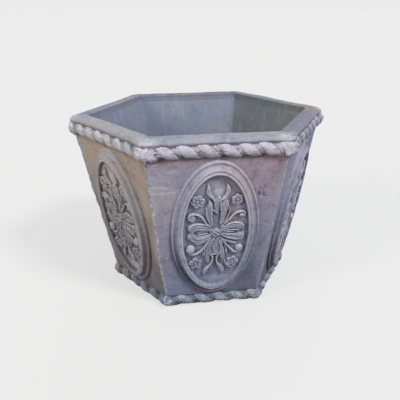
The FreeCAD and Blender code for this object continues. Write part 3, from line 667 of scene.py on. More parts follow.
RIDGES = (
    # Bow to the left
    ((-8, 12, 1.1, 4.8), (-15.5, 16.6, 1.2, 5.4), (-22, 19, 1.2, 5.6), (-29, 19.8),
     (-37, 18.8, 1.3), (-42.5, 15.4, 1.4, 5.4), (-44.6, 10.5, 1.4, 5.2)),
    ((-9, 8.6, 1.1, 4.8), (-16.7, 12.4, 1.1, 5.4), (-24, 14.4, 1.1, 5.6), (-31.5, 13.6, 1.1, 5.2),
     (-35, 12, 1, 4.8)),
    ((-9, 5, 1.1, 4.8), (-16.7, 7.6, 1.1, 5.4), (-24, 9.3, 1.2, 5.6), (-32, 8, 1.2, 5.2),
     (-38, 5, 1.2, 5), (-41, 3, 1, 4.6)),
    ((-13, 0, 0.9, 3.6), (-20, -0.8, 1.1, 4.2), (-29, -1, 1, 4)),
    ((-13, 2.8, 0.9, 3.6), (-21, 4, 1.1, 4.2), (-30, 3.6, 1, 3.8)),
    ((-9, -3.8, 1.2, 4.8), (-14, -5.6, 1.2, 5.4), (-20.5, -8, 1.3, 5.6), (-28, -9.4, 1.4, 5.8),
     (-33, -7, 1.4, 5.6), (-36.8, -1.5, 1.4, 5.4), (-38.6, 3, 1.2, 5)),
    ((-10, -6, 1.1, 4.8), (-15.5, -10.6, 1.2, 5.2), (-22, -13.4, 1.2, 5.4), (-30, -14.4, 1.2, 5.2),
     (-38, -11.5, 1.3, 5), (-44.5, -6, 1.3, 4.8)),
    ((-10, -8, 1.1, 4.6), (-16, -13.6, 1.2, 5), (-22, -17, 1.3, 5.2), (-29, -18.4, 1.3, 4.8),
     (-32, -18, 1, 4.2)),
    # Bow to the right
    ((9, 10, 1.1, 4.8), (14.5, 13.6, 1.2, 5.2), (19.5, 17, 1.2, 5.4), (26, 19.6, 1.2, 5.6),
     (31, 20), (37.5, 19, 1.3), (43, 15.4, 1.4), (45.2, 10.5, 1.4, 5.4), (44, 6, 1.3, 5.2)),
    ((12, 10.6, 1, 4.8), (19, 13.6, 1.1, 5.2), (25, 15.8, 1.1, 5.4), (31, 16, 1.1, 5.2),
     (34, 15, 0.9, 4.8)),
    ((10, 5, 1.1, 4.8), (15, 7.8, 1.1, 5.2), (22, 11, 1.1, 5.4), (30, 11.8, 1.1, 5.2),
     (34, 10, 1, 4.8)),
    ((9, 3, 1.1, 4.6), (18, 4.6, 1.1, 4.8), (28, 5.4), (38, 5, 1.2, 5)),
    ((12, 0.8, 0.9, 3.8), (20, 1, 1, 4), (30, 1.4, 0.9, 3.6)),
    ((9, -1, 1.1, 4.8), (16, -2.4, 1.1, 5), (24, -3.4), (33, -4)),
    ((8.5, -3, 1.3, 4.8), (14.5, -7.2, 1.4, 5.4), (22, -10.2, 1.4, 5.8), (30, -12),
     (37, -12.6, 1.4, 5.6), (43.8, -11.6, 1.4, 5.4), (45.6, -6, 1.3, 5.2), (45, -1, 1.2, 4.8)),
    ((12, -11.5, 1.1, 4.6), (15, -14, 1.2, 5), (22, -17, 1.3, 5.2), (29.5, -20),
     (34.2, -22, 1.1, 4.6)),
    ((14.5, -16.5, 0.9, 4.2), (21, -19.6, 1, 4.4), (28, -22.4, 0.9, 4)),
    # Stems that roll into the scrolls, over and under the bow
    ((-9, 13, 1.4, 4.6), (-15.5, 19.5, 1.6, 5.2), (-18.5, 25, 1.7, 5.6), (-22, 31, 1.8, 5.8),
     (-27, 36), (-33, 39, 1.9), (-38.5, 40, 2), (-43, 38.2, 2, 5.6), (-45, 34, 2, 5.4),
     (-43.6, 29.6, 2, 5.2), (-39.6, 27.6, 2, 5), (-35.8, 29.5, 1.9, 4.8), (-35.2, 33, 1.8, 4.6),
     (-38.4, 34.8, 1.7)),
    ((9, 13, 1.4, 4.6), (17.6, 23, 1.6, 5.2), (22, 28, 1.7, 5.6), (27, 34.5, 1.7, 5.8),
     (32, 39, 1.8), (38, 41.3, 1.9), (43.6, 40), (45.8, 36, 1.9, 5.6), (44.4, 32, 2, 5.4)),
    ((-7, -8, 1.4, 4.6), (-11.7, -12.5, 1.5, 5), (-15.5, -20, 1.6, 5.4), (-19, -27.5, 1.7),
     (-24, -33.7, 1.8), (-30.5, -38.5, 1.9), (-36.7, -40, 2, 5.2), (-42, -38, 2.2, 5)),
    ((7, -8, 1.4, 4.6), (12, -14, 1.5, 5), (15.7, -20, 1.6, 5.4), (19.5, -26, 1.8, 5.6),
     (24.5, -32.5, 2), (29.5, -37.5), (35, -40, 1.8, 5.2), (40, -40.5, 1.2, 4.4)),
    # Edges and ribs of the leaves above the knot
    ((-6.7, 18, 1.4, 5), (-7.4, 27, 1.4, 5.6), (-8, 36, 1.3, 6), (-8, 44), (-8.6, 52, 1.3, 6.2),
     (-10, 59, 1.1, 5.8)),
    ((-8, 16, 1.3, 4.8), (-11.7, 24.5, 1.3, 5.2), (-14.2, 32, 1.2), (-16, 42),
     (-16.8, 50, 0.9, 4.4)),
    ((-9.5, 30, 1.1, 4.6), (-12, 42, 1.1, 5), (-13, 52), (-13, 59, 0.9, 4.4)),
    ((-8, 48, 1.3, 4.6), (-4, 43.5, 1.3, 4), (0, 40, 1.3, 3.4), (4.5, 37, 1, 2.4)),
    ((-3, 63, 1.2, 5), (-2.6, 56, 1.2, 4.6), (-4, 50, 1, 4)),
    ((4.8, 62, 1.3, 5), (5.8, 57, 1.3, 4.8), (6.4, 50, 1.2, 4.6)),
    ((1.5, 66, 1.2, 3.4), (3.5, 69, 1.4, 4), (5, 65, 1.4, 4.4)),
    ((7, 20, 1.2, 5.2), (8.2, 30, 1.2, 5.6), (8, 40, 1.2, 5.8), (6.6, 50), (8, 58),
     (12, 65, 1.1, 5.4)),
    ((10.5, 21, 1.1, 5), (13.2, 30, 1.1, 5.4), (15.2, 40, 1.1, 5.6), (17, 50, 1.1, 5.8), (17.4, 57),
     (15.6, 64, 1, 5.2)),
    ((12.5, 20, 1.2, 4.6), (15.8, 26, 1.2, 5), (19, 34.5, 1.2, 5.2), (20.6, 42),
     (19.6, 50.5, 0.9, 4.4)),
    # Edges of the leaves below the knot
    ((-3.5, -9.5, 1.1, 4.8), (-7, -17, 1.2, 5.2), (-9, -26, 1.2, 5.4), (-9, -34, 1.2, 5.2),
     (-8, -42.5, 1.2, 5)),
    ((4, -9, 1.1, 4.8), (6.4, -16, 1.2, 5.2), (8.2, -25, 1.2, 5.4), (9, -34, 1.2, 5.2),
     (7, -40.5, 1.2, 5)),
    ((-8, -43, 1.2, 5), (-3, -42.6, 1.2, 4.8), (2, -42), (7, -40.8, 1.2, 5)),
    ((-9, -12, 1.1, 4.8), (-13, -17, 1.2, 5.2), (-16.6, -24, 1.2, 5.4), (-18, -32.5),
     (-18.6, -41, 1.1, 5), (-18.2, -46, 0.9, 4.4)),
    ((-10, -19, 1, 4.6), (-12.6, -28, 1.1, 5), (-14.6, -37, 1.1, 5.2), (-14.6, -46, 1.2),
     (-14, -53), (-11.5, -58.6, 1.1, 5), (-9, -56, 1, 4.6)),
    ((-8, -43, 1.2, 5), (-4.6, -47, 1.3, 5.4), (-4, -52.5, 1.4, 5.6), (-5.8, -59, 1.5, 5.8),
     (-9.5, -66, 1.6), (-13.4, -71, 1.8)),
    ((-21.5, -33, 0.8, 3.8), (-21, -40, 0.8, 4), (-20.6, -46, 0.7, 3.6)),
    ((-24.6, -35, 0.8, 3.6), (-24, -41.5, 0.7, 3.4)),
    ((8.6, -30, 1, 5.2), (8.4, -40, 1, 5.4), (10, -48.5), (13.4, -55, 0.9, 4.8)),
    ((9.6, -16, 1, 4.8), (12.4, -30, 1, 5.4), (14.8, -39, 1, 5.6), (15.8, -47.5, 1, 5.4),
     (14.6, -54.5, 0.9, 4.8)),
    ((9, -12, 1, 4.6), (12.2, -17.5, 1.1, 5), (15.8, -26, 1.1, 5.2), (17.8, -35),
     (18.2, -44, 0.9, 4.6)),
    ((18.6, -33, 0.8, 4), (20.2, -40, 0.8, 4.2), (20.4, -46.5, 0.7, 3.8)),
    ((17.5, -56, 0.9, 4), (19.5, -64, 1.3, 4.6), (24, -70, 1.6, 4.8), (31, -72.8, 1.3, 4.2)),
    ((6.5, -42, 1.2, 5), (3.6, -47, 1.3, 5.4), (2.8, -54, 1.4, 5.6), (4.4, -62, 1.5, 5.8),
     (7, -69, 1.6), (10, -75, 1.6, 5.6), (13.2, -81, 1.2, 5), (14.6, -84.5, 0.9, 4.2)),
)
# Round bosses: (across, up, half width, half height, rise)
BOSSES = (
    (-40.5, 11.5, 5.6, 7.8, 5.4),
    (-42, -4.5, 5.2, 6.8, 4.8),
    (40, 11.5, 5.8, 8, 5.6),
    (40.2, -6.4, 5.6, 5.8, 5.2),
    (-39.5, 33.6, 6.4, 6.6, 4.4),
    (40.6, 34.4, 4.2, 4.4, 5.4),
    (-41, -30, 7.8, 8.8, 6.4),
    (40.2, -32.6, 6.8, 8.2, 6.8),
    (-3.4, -28, 1.8, 1.8, 4.6),
    (-2.6, -33, 1.5, 2.4, 4.2),
    (0.2, -37.6, 2, 1.8, 4.8),
    (3.2, -38.2, 1.6, 1.4, 4.4),
)
# Rosettes: (across, up, radius, turn in degrees, petals)
ROSETTES = (
    (-30.5, 62.6, 11.8, 12, 6),
    (32.2, 63.6, 10.2, 40, 6),
    (-32, -60, 11.6, 25, 5),
    (30, -60, 10.8, 0, 5),
)
# Rosette in shares of its radius: button, back plate, way to a petal's middle, petal, groove
BUTTON, PLATE, PETAL_OUT, PETAL, GROOVE = 0.29, 0.8, 0.62, 0.40, 0.34
BUTTON_RISE, PLATE_RISE, PETAL_RISE = 5.6, 1.2, 3.3
# Raised rim of a petal: (share of the petal, width, rise)
PETAL_RIM = (0.74, 0.22, 1.9)
# Knot: (half width, half height, tilt of its wraps)
KNOT = (10.4, 9.6, 38)
KNOT_RISE = 6.2
WRAP_RISE, WRAP_PITCH, WRAP_SHIFT = 1.2, 5.8, 0.4
KNOT_DROP = 0.8
# How much wider the strokes are than their stations say
FULLER = 1.12
LOBE_FULLNESS = 3.5
RIDGE_FULLNESS = 2.4
BOSS_FULLNESS = 3
PETAL_FULLNESS = 6


def smooth_line(stations, steps=5):
    """Points of a smooth line through stations."""
    full = [stations[0]]
    for station in stations[1:]:
        full.append(station + full[-1][len(station):])
    table = np.array(full, dtype=float)
    ends = np.concatenate([[2 * table[0] - table[1]], table, [2 * table[-1] - table[-2]]])
    share = (np.arange(steps) / steps)[:, None]
    line = []
    for a, b, c, d in zip(ends, ends[1:], ends[2:], ends[3:]):
        bend = (2 * a - 5 * b + 4 * c - d) * share**2 + (3 * b - a - 3 * c + d) * share**3
        line.append(0.5 * (2 * b + (c - a) * share + bend))
    return np.concatenate(line + [table[-1:]])


def stroke_height(across, up, line, fullness):
    """Height of one stroke over the field."""
    best = np.zeros(len(across))
    for start, end in zip(line[:-1], line[1:]):
        step = end[:2] - start[:2]
        reach = max(start[2], end[2]) * FULLER + np.abs(step).max()
        near = np.flatnonzero((np.abs(across - start[0]) < reach) & (np.abs(up - start[1]) < reach))
        x, y = across[near] - start[0], up[near] - start[1]
        share = np.clip((x * step[0] + y * step[1]) / max(float(step @ step), 1e-9), 0, 1)
        away = np.hypot(x - share * step[0], y - share * step[1])
        off = away / (start[2] + share * (end[2] - start[2])) / FULLER
        rise = start[3] + share * (end[3] - start[3])
        best[near] = np.maximum(best[near], rise * dome(off, fullness))
    return best


def boss_height(across, up, boss):
    """Height of a round boss."""
    x, y, half_width, half_height, rise = boss
    off = np.hypot((across - x) / half_width, (up - y) / half_height)
    return rise * dome(off, BOSS_FULLNESS)


def rosette_height(across, up, rosette):
    """Height of a rosette: button, ring groove and cupped petals."""
    centre_across, centre_up, radius, tilt, petals = rosette
    x, y = across - centre_across, up - centre_up
    away = np.hypot(x, y) / radius
    best = np.maximum(BUTTON_RISE * dome(away / BUTTON, 2), PLATE_RISE * (away < PLATE))
    place, width, rise = PETAL_RIM
    for index in range(petals):
        angle = radians(tilt + index * 360 / petals)
        step = PETAL_OUT * radius
        off = np.hypot(x - step * cos(angle), y - step * sin(angle)) / (PETAL * radius)
        petal = (PETAL_RISE + rise * hump(off, place, width)) * dome(off, PETAL_FULLNESS)
        best = np.maximum(best, petal * (away > GROOVE))
    return best


def knot_height(across, up):
    """Height of the wrapped knot in the middle."""
    half_width, half_height, tilt = KNOT
    tilt = radians(tilt)
    y = across * sin(tilt) + up * cos(tilt)
    off = np.hypot(across / half_width, up / half_height)
    body = KNOT_RISE * dome(off, BOSS_FULLNESS)
    wraps = WRAP_RISE * np.cos(TURN * (y - WRAP_SHIFT) / WRAP_PITCH)
    return np.where(off < 1, np.maximum(body - KNOT_DROP + wraps * (1 - off**4), 0), 0)


# How much darker the painted shade in the crevices of a side's ornament is
RELIEF_CREVICE_SHADE = {"front_left": 1.7, "front_right": 1.3}
# How lumpy a side's ornament is, in millimetres
RELIEF_LUMPS = {"front_left": 1.5, "front_right": 0.9}
USUAL_LUMPS = 0.45
RUB_DEPTH_SHARE = 0.3
# Height from which the ornament is fully lumpy, and the field's share of that
LUMPY_FROM = 3
FIELD_LUMPS_SHARE = 0.2
RELIEF_COLUMNS = 180
RELIEF_ROWS = 360
UNDER_RING = 2.0
ORNAMENT_DROP = 0.5
ORNAMENT_SQUEEZE_SHARE = 0.985
FIELD_HALF = (OVAL_HALF_WIDTH - RING_WIDTHS[0], OVAL_HALF_HEIGHT - RING_WIDTHS[1])
SOFT_PASSES = 3
# Passes of blur that crevices and bodies are set against, and the rise that counts in full
CREVICE = (8, 1.1)
BODY = (60, 3)
RING_FOOT_REACH = 3.0
# Well rubbed places: (across, up, half width, half height, how rubbed), and the bosses that are
RUBBED_PLACES = ((1, 79, 10, 10, 0.7), (10, -95, 24, 10, 0.5))
RUBBED_BOSSES = BOSSES[4:8]
BOSS_RUB = 0.07


def blurred(values, passes):
    """Soften values on the relief's grid of points."""
    table = values.reshape(RELIEF_ROWS + 1, RELIEF_COLUMNS + 1)
    for _ in range(passes):
        wide = np.pad(table, 1, mode="edge")
        sides = wide[1:-1, :-2] + wide[1:-1, 2:] + wide[:-2, 1:-1] + wide[2:, 1:-1]
        table = (sides + 2 * wide[1:-1, 1:-1]) / 6
    return table.reshape(-1)


def raised_over(height, passes, full):
    """How far a height stands over its blurred self, from -1 to 1."""
    return np.clip((height - blurred(height, passes)) / full, -1, 1)


def carve_relief():
    """Places, heights and wear with painted shade and highlight of the whole ornament, worked once
    for all the sides.
    """
    sheet, a, b = grid(RELIEF_COLUMNS, RELIEF_ROWS)
    sheet.free()
    x, y = a * 2 - 1, b * 2 - 1
    across = (FIELD_HALF[0] + UNDER_RING) * x * np.sqrt(1 - y * y / 2)
    up = (FIELD_HALF[1] + UNDER_RING) * y * np.sqrt(1 - x * x / 2)
    inwards = np.maximum(1 - np.hypot(across / FIELD_HALF[0], up / FIELD_HALF[1]), 0)
    places = across, up
    up = (up + ORNAMENT_DROP) / ORNAMENT_SQUEEZE_SHARE
    height = knot_height(across, up)
    for strokes, fullness in ((LOBES, LOBE_FULLNESS), (RIDGES, RIDGE_FULLNESS)):
        for stations in strokes:
            line = smooth_line(stations)
            height = np.maximum(height, stroke_height(across, up, line, fullness))
    for shaped, rows in ((boss_height, BOSSES), (rosette_height, ROSETTES)):
        for row in rows:
            height = np.maximum(height, shaped(across, up, row))
    height = blurred(height, SOFT_PASSES)
    rubbed = sum(rub * spot(across, up, *place) for *place, rub in RUBBED_PLACES)
    for boss in RUBBED_BOSSES:
        rubbed = np.maximum(rubbed, BOSS_RUB * boss_height(across, up, boss))
    # Painted shade in the crevices and painted highlight on the crests and bodies, with rubbed places
    worn = 0.8 * raised_over(height, *CREVICE) + 0.35 * raised_over(height, *BODY) + rubbed
    return *places, height, worn, fade(inwards * FIELD_HALF[0], 1.0, RING_FOOT_REACH)


RELIEF = carve_relief()


def relief(side, material):
    """Oval insert with the whole ornament worked into its face."""
    across, up, height, worn, ring_foot = RELIEF
    own = side_turn(side)
    # Painted shadow of the ring on the field next to it, strongest on the side the light comes from
    toward_light = np.clip(0.35 + 0.65 * facing(side, across, up), 0, 1)
    worn = np.clip(worn * RELIEF_CREVICE_SHADE.get(side, 1.0) - 0.6 * ring_foot * toward_light, -1, 1)
    rubbed = np.clip(ragged(across / 13, up / 13, own), 0, 1)
    lumps = RELIEF_LUMPS.get(side, USUAL_LUMPS) * ragged(across / 3.6, up / 3.6, own + 9)
    lumpy = lumps * np.clip(height / LUMPY_FROM, FIELD_LUMPS_SHARE, 1)
    height = height * (1 - RUB_DEPTH_SHARE * rubbed) + lumpy
    points = wobble(turned(on_wall(across, up, PLATE_THICKNESS + height), own))
    sheet, _, _ = grid(RELIEF_COLUMNS, RELIEF_ROWS)
    put(sheet, inside_box(points), worn=worn)
    border = [edge for edge in sheet.edges if edge.is_boundary]
    fresh = new_points(bmesh.ops.extrude_edge_only(sheet, edges=border))
    bmesh.ops.translate(sheet, verts=fresh, vec=Vector(-side_out(side) * PLATE_THICKNESS * MM))
    close_ends(sheet, FINE_WELD)
    nodes = ["floral_relief_" + side]
    make_piece("relief_" + side, sheet, material, nodes)


# Seams at the corners

SEAM_ROWS = 32
SEAM_COLUMNS = 300
SEAM_LEVELS = (2, 284)
SEAM_HALF_WIDTH = 3.1
SEAM_RISE = 1.6
COVE_HALF_WIDTH = 3.6
# How fine a corner's ridge is beside the usual one
SEAM_SHARES = {"front_right": 0.62}
# How deep the ridge's edges and its back lie, and how far it wanders sideways
SEAM_SUNK = 0.4
SEAM_BACK = 5.0
SEAM_DRIFT = 1.4
LEAST_CROWN = 0.15
# How deep the cove's face, its back and its foot lie
COVE_SUNK = 0.3
COVE_BACK = 2
COVE_FOOT = 4
ROPE_CORNER_LUMPS = 1.2


def base_rope_corner(level):
    """How far out the base rope reaches at a corner."""
    outward, upward, apothem, centre, _, radius = BASE_ROPE[:6]
    off = np.clip((level - centre) / upward, -1, 1)
    reach = (outward + ROPE_CORNER_LUMPS) * np.sqrt(1 - off**2)
    return (apothem - radius) / COS_HALF + radius + reach


def seam(corner, material):
    """Ragged ridge of mortar outside a corner and the cove inside it."""
    own = corner_turn(corner)
    fine = SEAM_SHARES.get(corner, 1.0)

    def ridge(along, around):
        angle = around * TURN
        level = SEAM_LEVELS[0] + along * (SEAM_LEVELS[1] - SEAM_LEVELS[0])
        edge = np.maximum(wall_face(level) / COS_HALF, base_rope_corner(level)) - SEAM_SUNK
        across = -np.cos(angle)
        lumps = ragged(level / 8.3, own, across * 0.8)
        lumps = lumps + 0.6 * ragged(level / 3.3, own + 7, across)
        broken = ragged(level / 21, own + 3, 0)
        drift = ragged(level / 40, own + 5, 0)
        side = across * SEAM_HALF_WIDTH * fine * (1 + 0.5 * lumps) + drift * SEAM_DRIFT
        crown = np.maximum(0.7 + 0.6 * lumps + 0.9 * broken, LEAST_CROWN)
        crown = (1 - across**2) * SEAM_RISE * fine * crown
        rise = np.where(angle < pi, crown, -SEAM_BACK * np.abs(np.sin(angle)))
        worn = np.clip(crown * 0.34 - 0.05 + 0.5 * lumps * fine, -1, 1)
        marks = {"worn": worn, "stained": 0.0, "inner": 0.0}
        return joined(edge - np.abs(side) * TAN_HALF + rise, side, level), marks

    def cove(along, around):
        angle = around * TURN
        level = FLOOR_LEVEL - COVE_FOOT + along * (BED_LEVEL - FLOOR_LEVEL + COVE_FOOT)
        edge = (wall_face(level) - WALL_THICKNESS) / COS_HALF - COVE_SUNK
        side = -np.cos(angle) * COVE_HALF_WIDTH
        radius = COVE_HALF_WIDTH * 2
        face = edge - radius / COS_HALF + np.sqrt(radius * radius - side * side)
        hidden = edge - np.abs(side) * TAN_HALF + COVE_BACK * np.abs(np.sin(angle))
        # Painted shade: darker towards the floor
        worn = -DEEP_SHADE * (1 - level / BED_LEVEL)
        marks = {"worn": worn, "stained": 0.0, "inner": 1.0}
        return joined(np.where(angle < pi, face, hidden), side, level), marks

    outside = swept(SEAM_COLUMNS, SEAM_ROWS, ridge, own)
    inside = swept(SEAM_COLUMNS // 4, SEAM_ROWS, cove, own)
    spare = mesh_of("cove", inside)
    outside.from_mesh(spare)
    bpy.data.meshes.remove(spare)
    make_piece("seam_" + corner, outside, material, ["corner_joint_" + corner])


# Materials


class Value:
    """A socket of a material that can be used in sums."""

    def __init__(self, graph, socket):
        self.graph = graph
        self.socket = socket

    def maths(self, operation, first, second):
        return self.graph.node("ShaderNodeMath", {"operation": operation}, {0: first, 1: second})

    def __add__(self, other):
        return self.maths("ADD", self, other)

    def __sub__(self, other):
        return self.maths("SUBTRACT", self, other)

    def __rsub__(self, other):
        return self.maths("SUBTRACT", other, self)

    def __mul__(self, other):
        return self.maths("MULTIPLY", self, other)

    __radd__ = __add__
    __rmul__ = __mul__


class Graph:
    """Node graph of a material or of the world."""

    def __init__(self, owner):
        owner.use_nodes = True
        self.owner = owner
        self.tree = owner.node_tree
        self.tree.nodes.clear()

    def node(self, kind, settings, inputs, output=0):
        made = self.tree.nodes.new(kind)
        for name, setting in settings.items():
            setattr(made, name, setting)
        for key, value in inputs.items():
            if isinstance(value, Value):
                self.tree.links.new(value.socket, made.inputs[key])
            else:
                made.inputs[key].default_value = value
        return Value(self, made.outputs[output]) if made.outputs else None

    def finish(self, **inputs):
        """Material that the graph belongs to, with its shader."""
        named = {key.replace("_", " "): value for key, value in inputs.items()}
        shader = self.node("ShaderNodeBsdfPrincipled", {}, named)
        self.node("ShaderNodeOutputMaterial", {}, {"Surface": shader})
        return self.owner

    def place(self):
        return self.node("ShaderNodeTexCoord", {}, {}, "Object")

    def mapped(self, vector, **change):
        return self.node("ShaderNodeMapping", {}, {"Vector": vector, **change})

    def noise(self, vector, scale, detail=4.0, roughness=0.6):
        inputs = {"Vector": vector, "Scale": scale, "Detail": detail, "Roughness": roughness}
        return self.node("ShaderNodeTexNoise", {}, inputs)

    def step(self, value, low, high, start=0.0, end=1.0):
        inputs = {"Value": value, "From Min": low, "From Max": high, "To Min": start, "To Max": end}
        return self.node("ShaderNodeMapRange", {"interpolation_type": "SMOOTHSTEP"}, inputs)

    def attribute(self, name):
        return self.node("ShaderNodeAttribute", {"attribute_name": name}, {}, "Fac")

    def mix(self, factor, first, second):
        settings = {"data_type": "RGBA"}
        return self.node("ShaderNodeMix", settings, {0: factor, 6: first, 7: second}, 2)

    def seen(self):
        """1 where the camera looks straight at it, or sees it in metal or through glass."""
        straight, gloss, glass = (
            self.node("ShaderNodeLightPath", {}, {}, "Is %s Ray" % kind)
            for kind in ("Camera", "Glossy", "Transmission")
        )
        settings = {"operation": "ADD", "use_clamp": True}
        return self.node("ShaderNodeMath", settings, {0: straight + gloss, 1: glass})


def tone(red, green, blue):
    """Linear colour of screen values from 0 to 255."""
    channels = []
    for value in (red, green, blue):
        value /= 255
        channels.append(value / 12.92 if value <= 0.04045 else ((value + 0.055) / 1.055) ** 2.4)
    return (*channels, 1.0)


# Colours of pale dust and painted highlight, of dark dirt and painted shade, the warmer one for the
# front_left side, and of rust brown, which is also painted shade on shaded ring flanks
PALE_DUST_AND_HIGHLIGHT = tone(204, 203, 212)
DARK_DIRT_AND_SHADE = tone(66, 62, 74)
WARM_DIRT_AND_SHADE = tone(92, 82, 78)
RUST_AND_SHADE_BROWN = tone(146, 88, 76)
WARM_CLOUD = tone(166, 142, 134)
COOL_CLOUD = tone(110, 116, 146)
DAMP_CLOUD = tone(134, 146, 142)
BARE_STEEL = tone(110, 106, 102)
STEEL_RUST = tone(118, 72, 48)
CLOUD_SHIFT = (0.12, 0.03, -0.07)
# Scales of the cement's noises, in lumps a metre
CLOUD_SCALE = 11.5
DAMP_SCALE = (31.0, 31.0, 24.0)
STREAK_SCALE = (70.0, 70.0, 8.0)
BLOTCH_SCALE = 55.0
PIT_SCALE = 95.0
GRAIN_SCALE = 210.0
FINE_SCALE = 760.0
RUST_SCALE = 220.0
# Levels in metres between which the foot's tone goes over into the mouth's
TONE_LEVELS = (0.04, 0.27)
CEMENT_GLOSS = 0.25


def cement(name, high, low, cavity=None, pits=0.6, dirt_and_shade=DARK_DIRT_AND_SHADE):
    """Rough cement: one tone near the mouth, one near the foot, blotches, pits, dirt and painted
    shade, rub and painted highlight.
    """
    graph = Graph(bpy.data.materials.new(name))
    place = graph.place()
    height = graph.node("ShaderNodeSeparateXYZ", {}, {"Vector": place}, "Z")
    cloud = graph.noise(graph.mapped(place, Location=CLOUD_SHIFT), CLOUD_SCALE, 3.0, 0.55)
    damp = graph.noise(graph.mapped(place, Scale=DAMP_SCALE), 1.0, 3.0, 0.6)
    streak = graph.noise(graph.mapped(place, Scale=STREAK_SCALE), 1.0, 3.0, 0.6)
    blotch = graph.noise(place, BLOTCH_SCALE)
    grain = graph.noise(place, GRAIN_SCALE, 4.0, 0.7)
    fine = graph.noise(place, FINE_SCALE, 3.0, 0.7)
    colour = graph.mix(graph.step(height + (cloud - 0.5) * 0.16, *TONE_LEVELS), low, high)
    mottle = 1.0
    if cavity:
        inner = graph.attribute("inner")
        colour = graph.mix(inner, colour, cavity)
        mottle = 1.0 - inner * 0.55
    for noise, start, full, share, shade in (
        (cloud, 0.50, 0.70, 0.34, WARM_CLOUD),
        (cloud, 0.50, 0.30, 0.32, COOL_CLOUD),
        (damp, 0.50, 0.72, 0.34, DAMP_CLOUD),
        (blotch, 0.51, 0.74, mottle * 0.38, dirt_and_shade),
        (streak, 0.52, 0.80, 0.20, PALE_DUST_AND_HIGHLIGHT),
        (grain, 0.54, 0.78, mottle * 0.36, PALE_DUST_AND_HIGHLIGHT),
        (grain, 0.47, 0.28, mottle * 0.36, dirt_and_shade),
    ):
        colour = graph.mix(graph.step(noise, start, full) * share, colour, shade)
    cells = graph.node("ShaderNodeTexVoronoi", {}, {"Vector": place, "Scale": PIT_SCALE})
    pit = graph.step(cells, 0.20, 0.08) * graph.step(blotch, 0.42, 0.60) * pits
    colour = graph.mix(pit * 0.55, colour, dirt_and_shade)
    # The brown tint is rust, and on the shaded flank of a ring it is painted shade
    stain = graph.attribute("stained") * graph.step(blotch, 0.30, 0.58)
    colour = graph.mix(stain * 0.65, colour, RUST_AND_SHADE_BROWN)
    # Below zero the mark darkens with dirt and painted shade, above zero it pales with rub and
    # painted highlight
    worn = graph.attribute("worn")
    colour = graph.mix(graph.step(worn, 0.05, -0.8) * 0.78, colour, dirt_and_shade)
    rub = graph.step(worn, 0.05, 0.8) * graph.step(blotch + grain * 0.5, 0.52, 0.90, 0.25, 1.0)
    colour = graph.mix(rub * 0.68, colour, PALE_DUST_AND_HIGHLIGHT)
    swell = grain * 0.6 + fine * 0.25 + blotch * 0.9 - pit * 0.9
    bump = graph.node("ShaderNodeBump", {}, {"Strength": 0.6, "Distance": 0.0015, "Height": swell})
    roughness = graph.step(fine, 0.2, 0.8, 0.82, 0.96)
    return graph.finish(
        Base_Color=colour, Roughness=roughness, Normal=bump, Specular_IOR_Level=CEMENT_GLOSS
    )


def rusty_steel():
    """Plain steel bar, lightly rusted."""
    graph = Graph(bpy.data.materials.new("bar_steel"))
    spread = graph.noise(graph.place(), RUST_SCALE)
    colour = graph.mix(graph.step(spread, 0.4, 0.65), BARE_STEEL, STEEL_RUST)
    roughness = graph.step(spread, 0.3, 0.7, 0.45, 0.8)
    return graph.finish(Base_Color=colour, Roughness=roughness, Metallic=1.0)


# Tones of each side, partly the cement's own and partly painted light and shade for how each side
# is lit: wall near the mouth, wall near the foot, wall inside, relief, ring, coping, rope
SIDE_TONES = {
    "front": ((160, 155, 170), (120, 125, 153), (133, 137, 157), (157, 156, 170), (173, 171, 185),
        (148, 151, 163), (186, 182, 196)),
    "front_right": ((142, 144, 168), (106, 110, 138), (130, 134, 154), (140, 141, 162),
        (160, 158, 182), (122, 123, 137), (150, 147, 170)),
    "back_right": ((150, 148, 158), (126, 130, 146), (122, 130, 133), (150, 148, 158),
        (164, 163, 174), (128, 130, 144), (168, 167, 178)),
    "back": ((150, 148, 158), (126, 130, 146), (135, 144, 168), (150, 148, 158), (164, 163, 174),
        (100, 104, 126), (168, 167, 178)),
    "back_left": ((152, 149, 154), (128, 132, 144), (139, 145, 168), (152, 149, 154),
        (166, 164, 172), (130, 131, 148), (168, 167, 174)),
    "front_left": ((180, 165, 149), (113, 111, 117), (130, 134, 152), (176, 168, 161),
        (184, 182, 181), (157, 157, 159), (196, 196, 201)),
}

base_rope_stone = cement("base_rope_cement", tone(124, 135, 147), tone(116, 128, 143))
seam_stone = cement("seam_mortar", tone(162, 157, 180), tone(142, 143, 166), tone(137, 142, 163))
floor_stone = cement("floor_cement", tone(110, 110, 118), tone(96, 98, 106))
steel = rusty_steel()

for side in SIDES:
    high, low, cavity, field, raised, cope, twist = (tone(*shade) for shade in SIDE_TONES[side])
    # The front_left side gets a warmer dark for its dirt and painted shade
    dirt_and_shade = WARM_DIRT_AND_SHADE if side == "front_left" else DARK_DIRT_AND_SHADE
    wall_panel(side, cement("wall_cement_" + side, high, low, cavity, dirt_and_shade=dirt_and_shade))
    coping(side, cement("coping_cement_" + side, cope, cope, cavity, 0.4))
    ring(side, cement("ring_cement_" + side, raised, low, pits=0.3, dirt_and_shade=dirt_and_shade))
    relief(side, cement("relief_cement_" + side, field, low, pits=0.2, dirt_and_shade=dirt_and_shade))
    rope("rim_rope", side, RIM_ROPE, cement("rim_rope_cement_" + side, twist, twist, dirt_and_shade=dirt_and_shade))
    rope("base_rope", side, BASE_ROPE, base_rope_stone)
for corner in CORNERS:
    seam(corner, seam_stone)

for node, finish in (("floor_slab", floor_stone), ("rim_hoop", steel), ("floor_hoop", steel),
                     ("corner_bars", steel)):
    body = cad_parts[node]
    if not body.material_slots:
        body.data.materials.append(finish)
    for holder in body.material_slots:
        holder.material = finish


# Stage, camera and lights

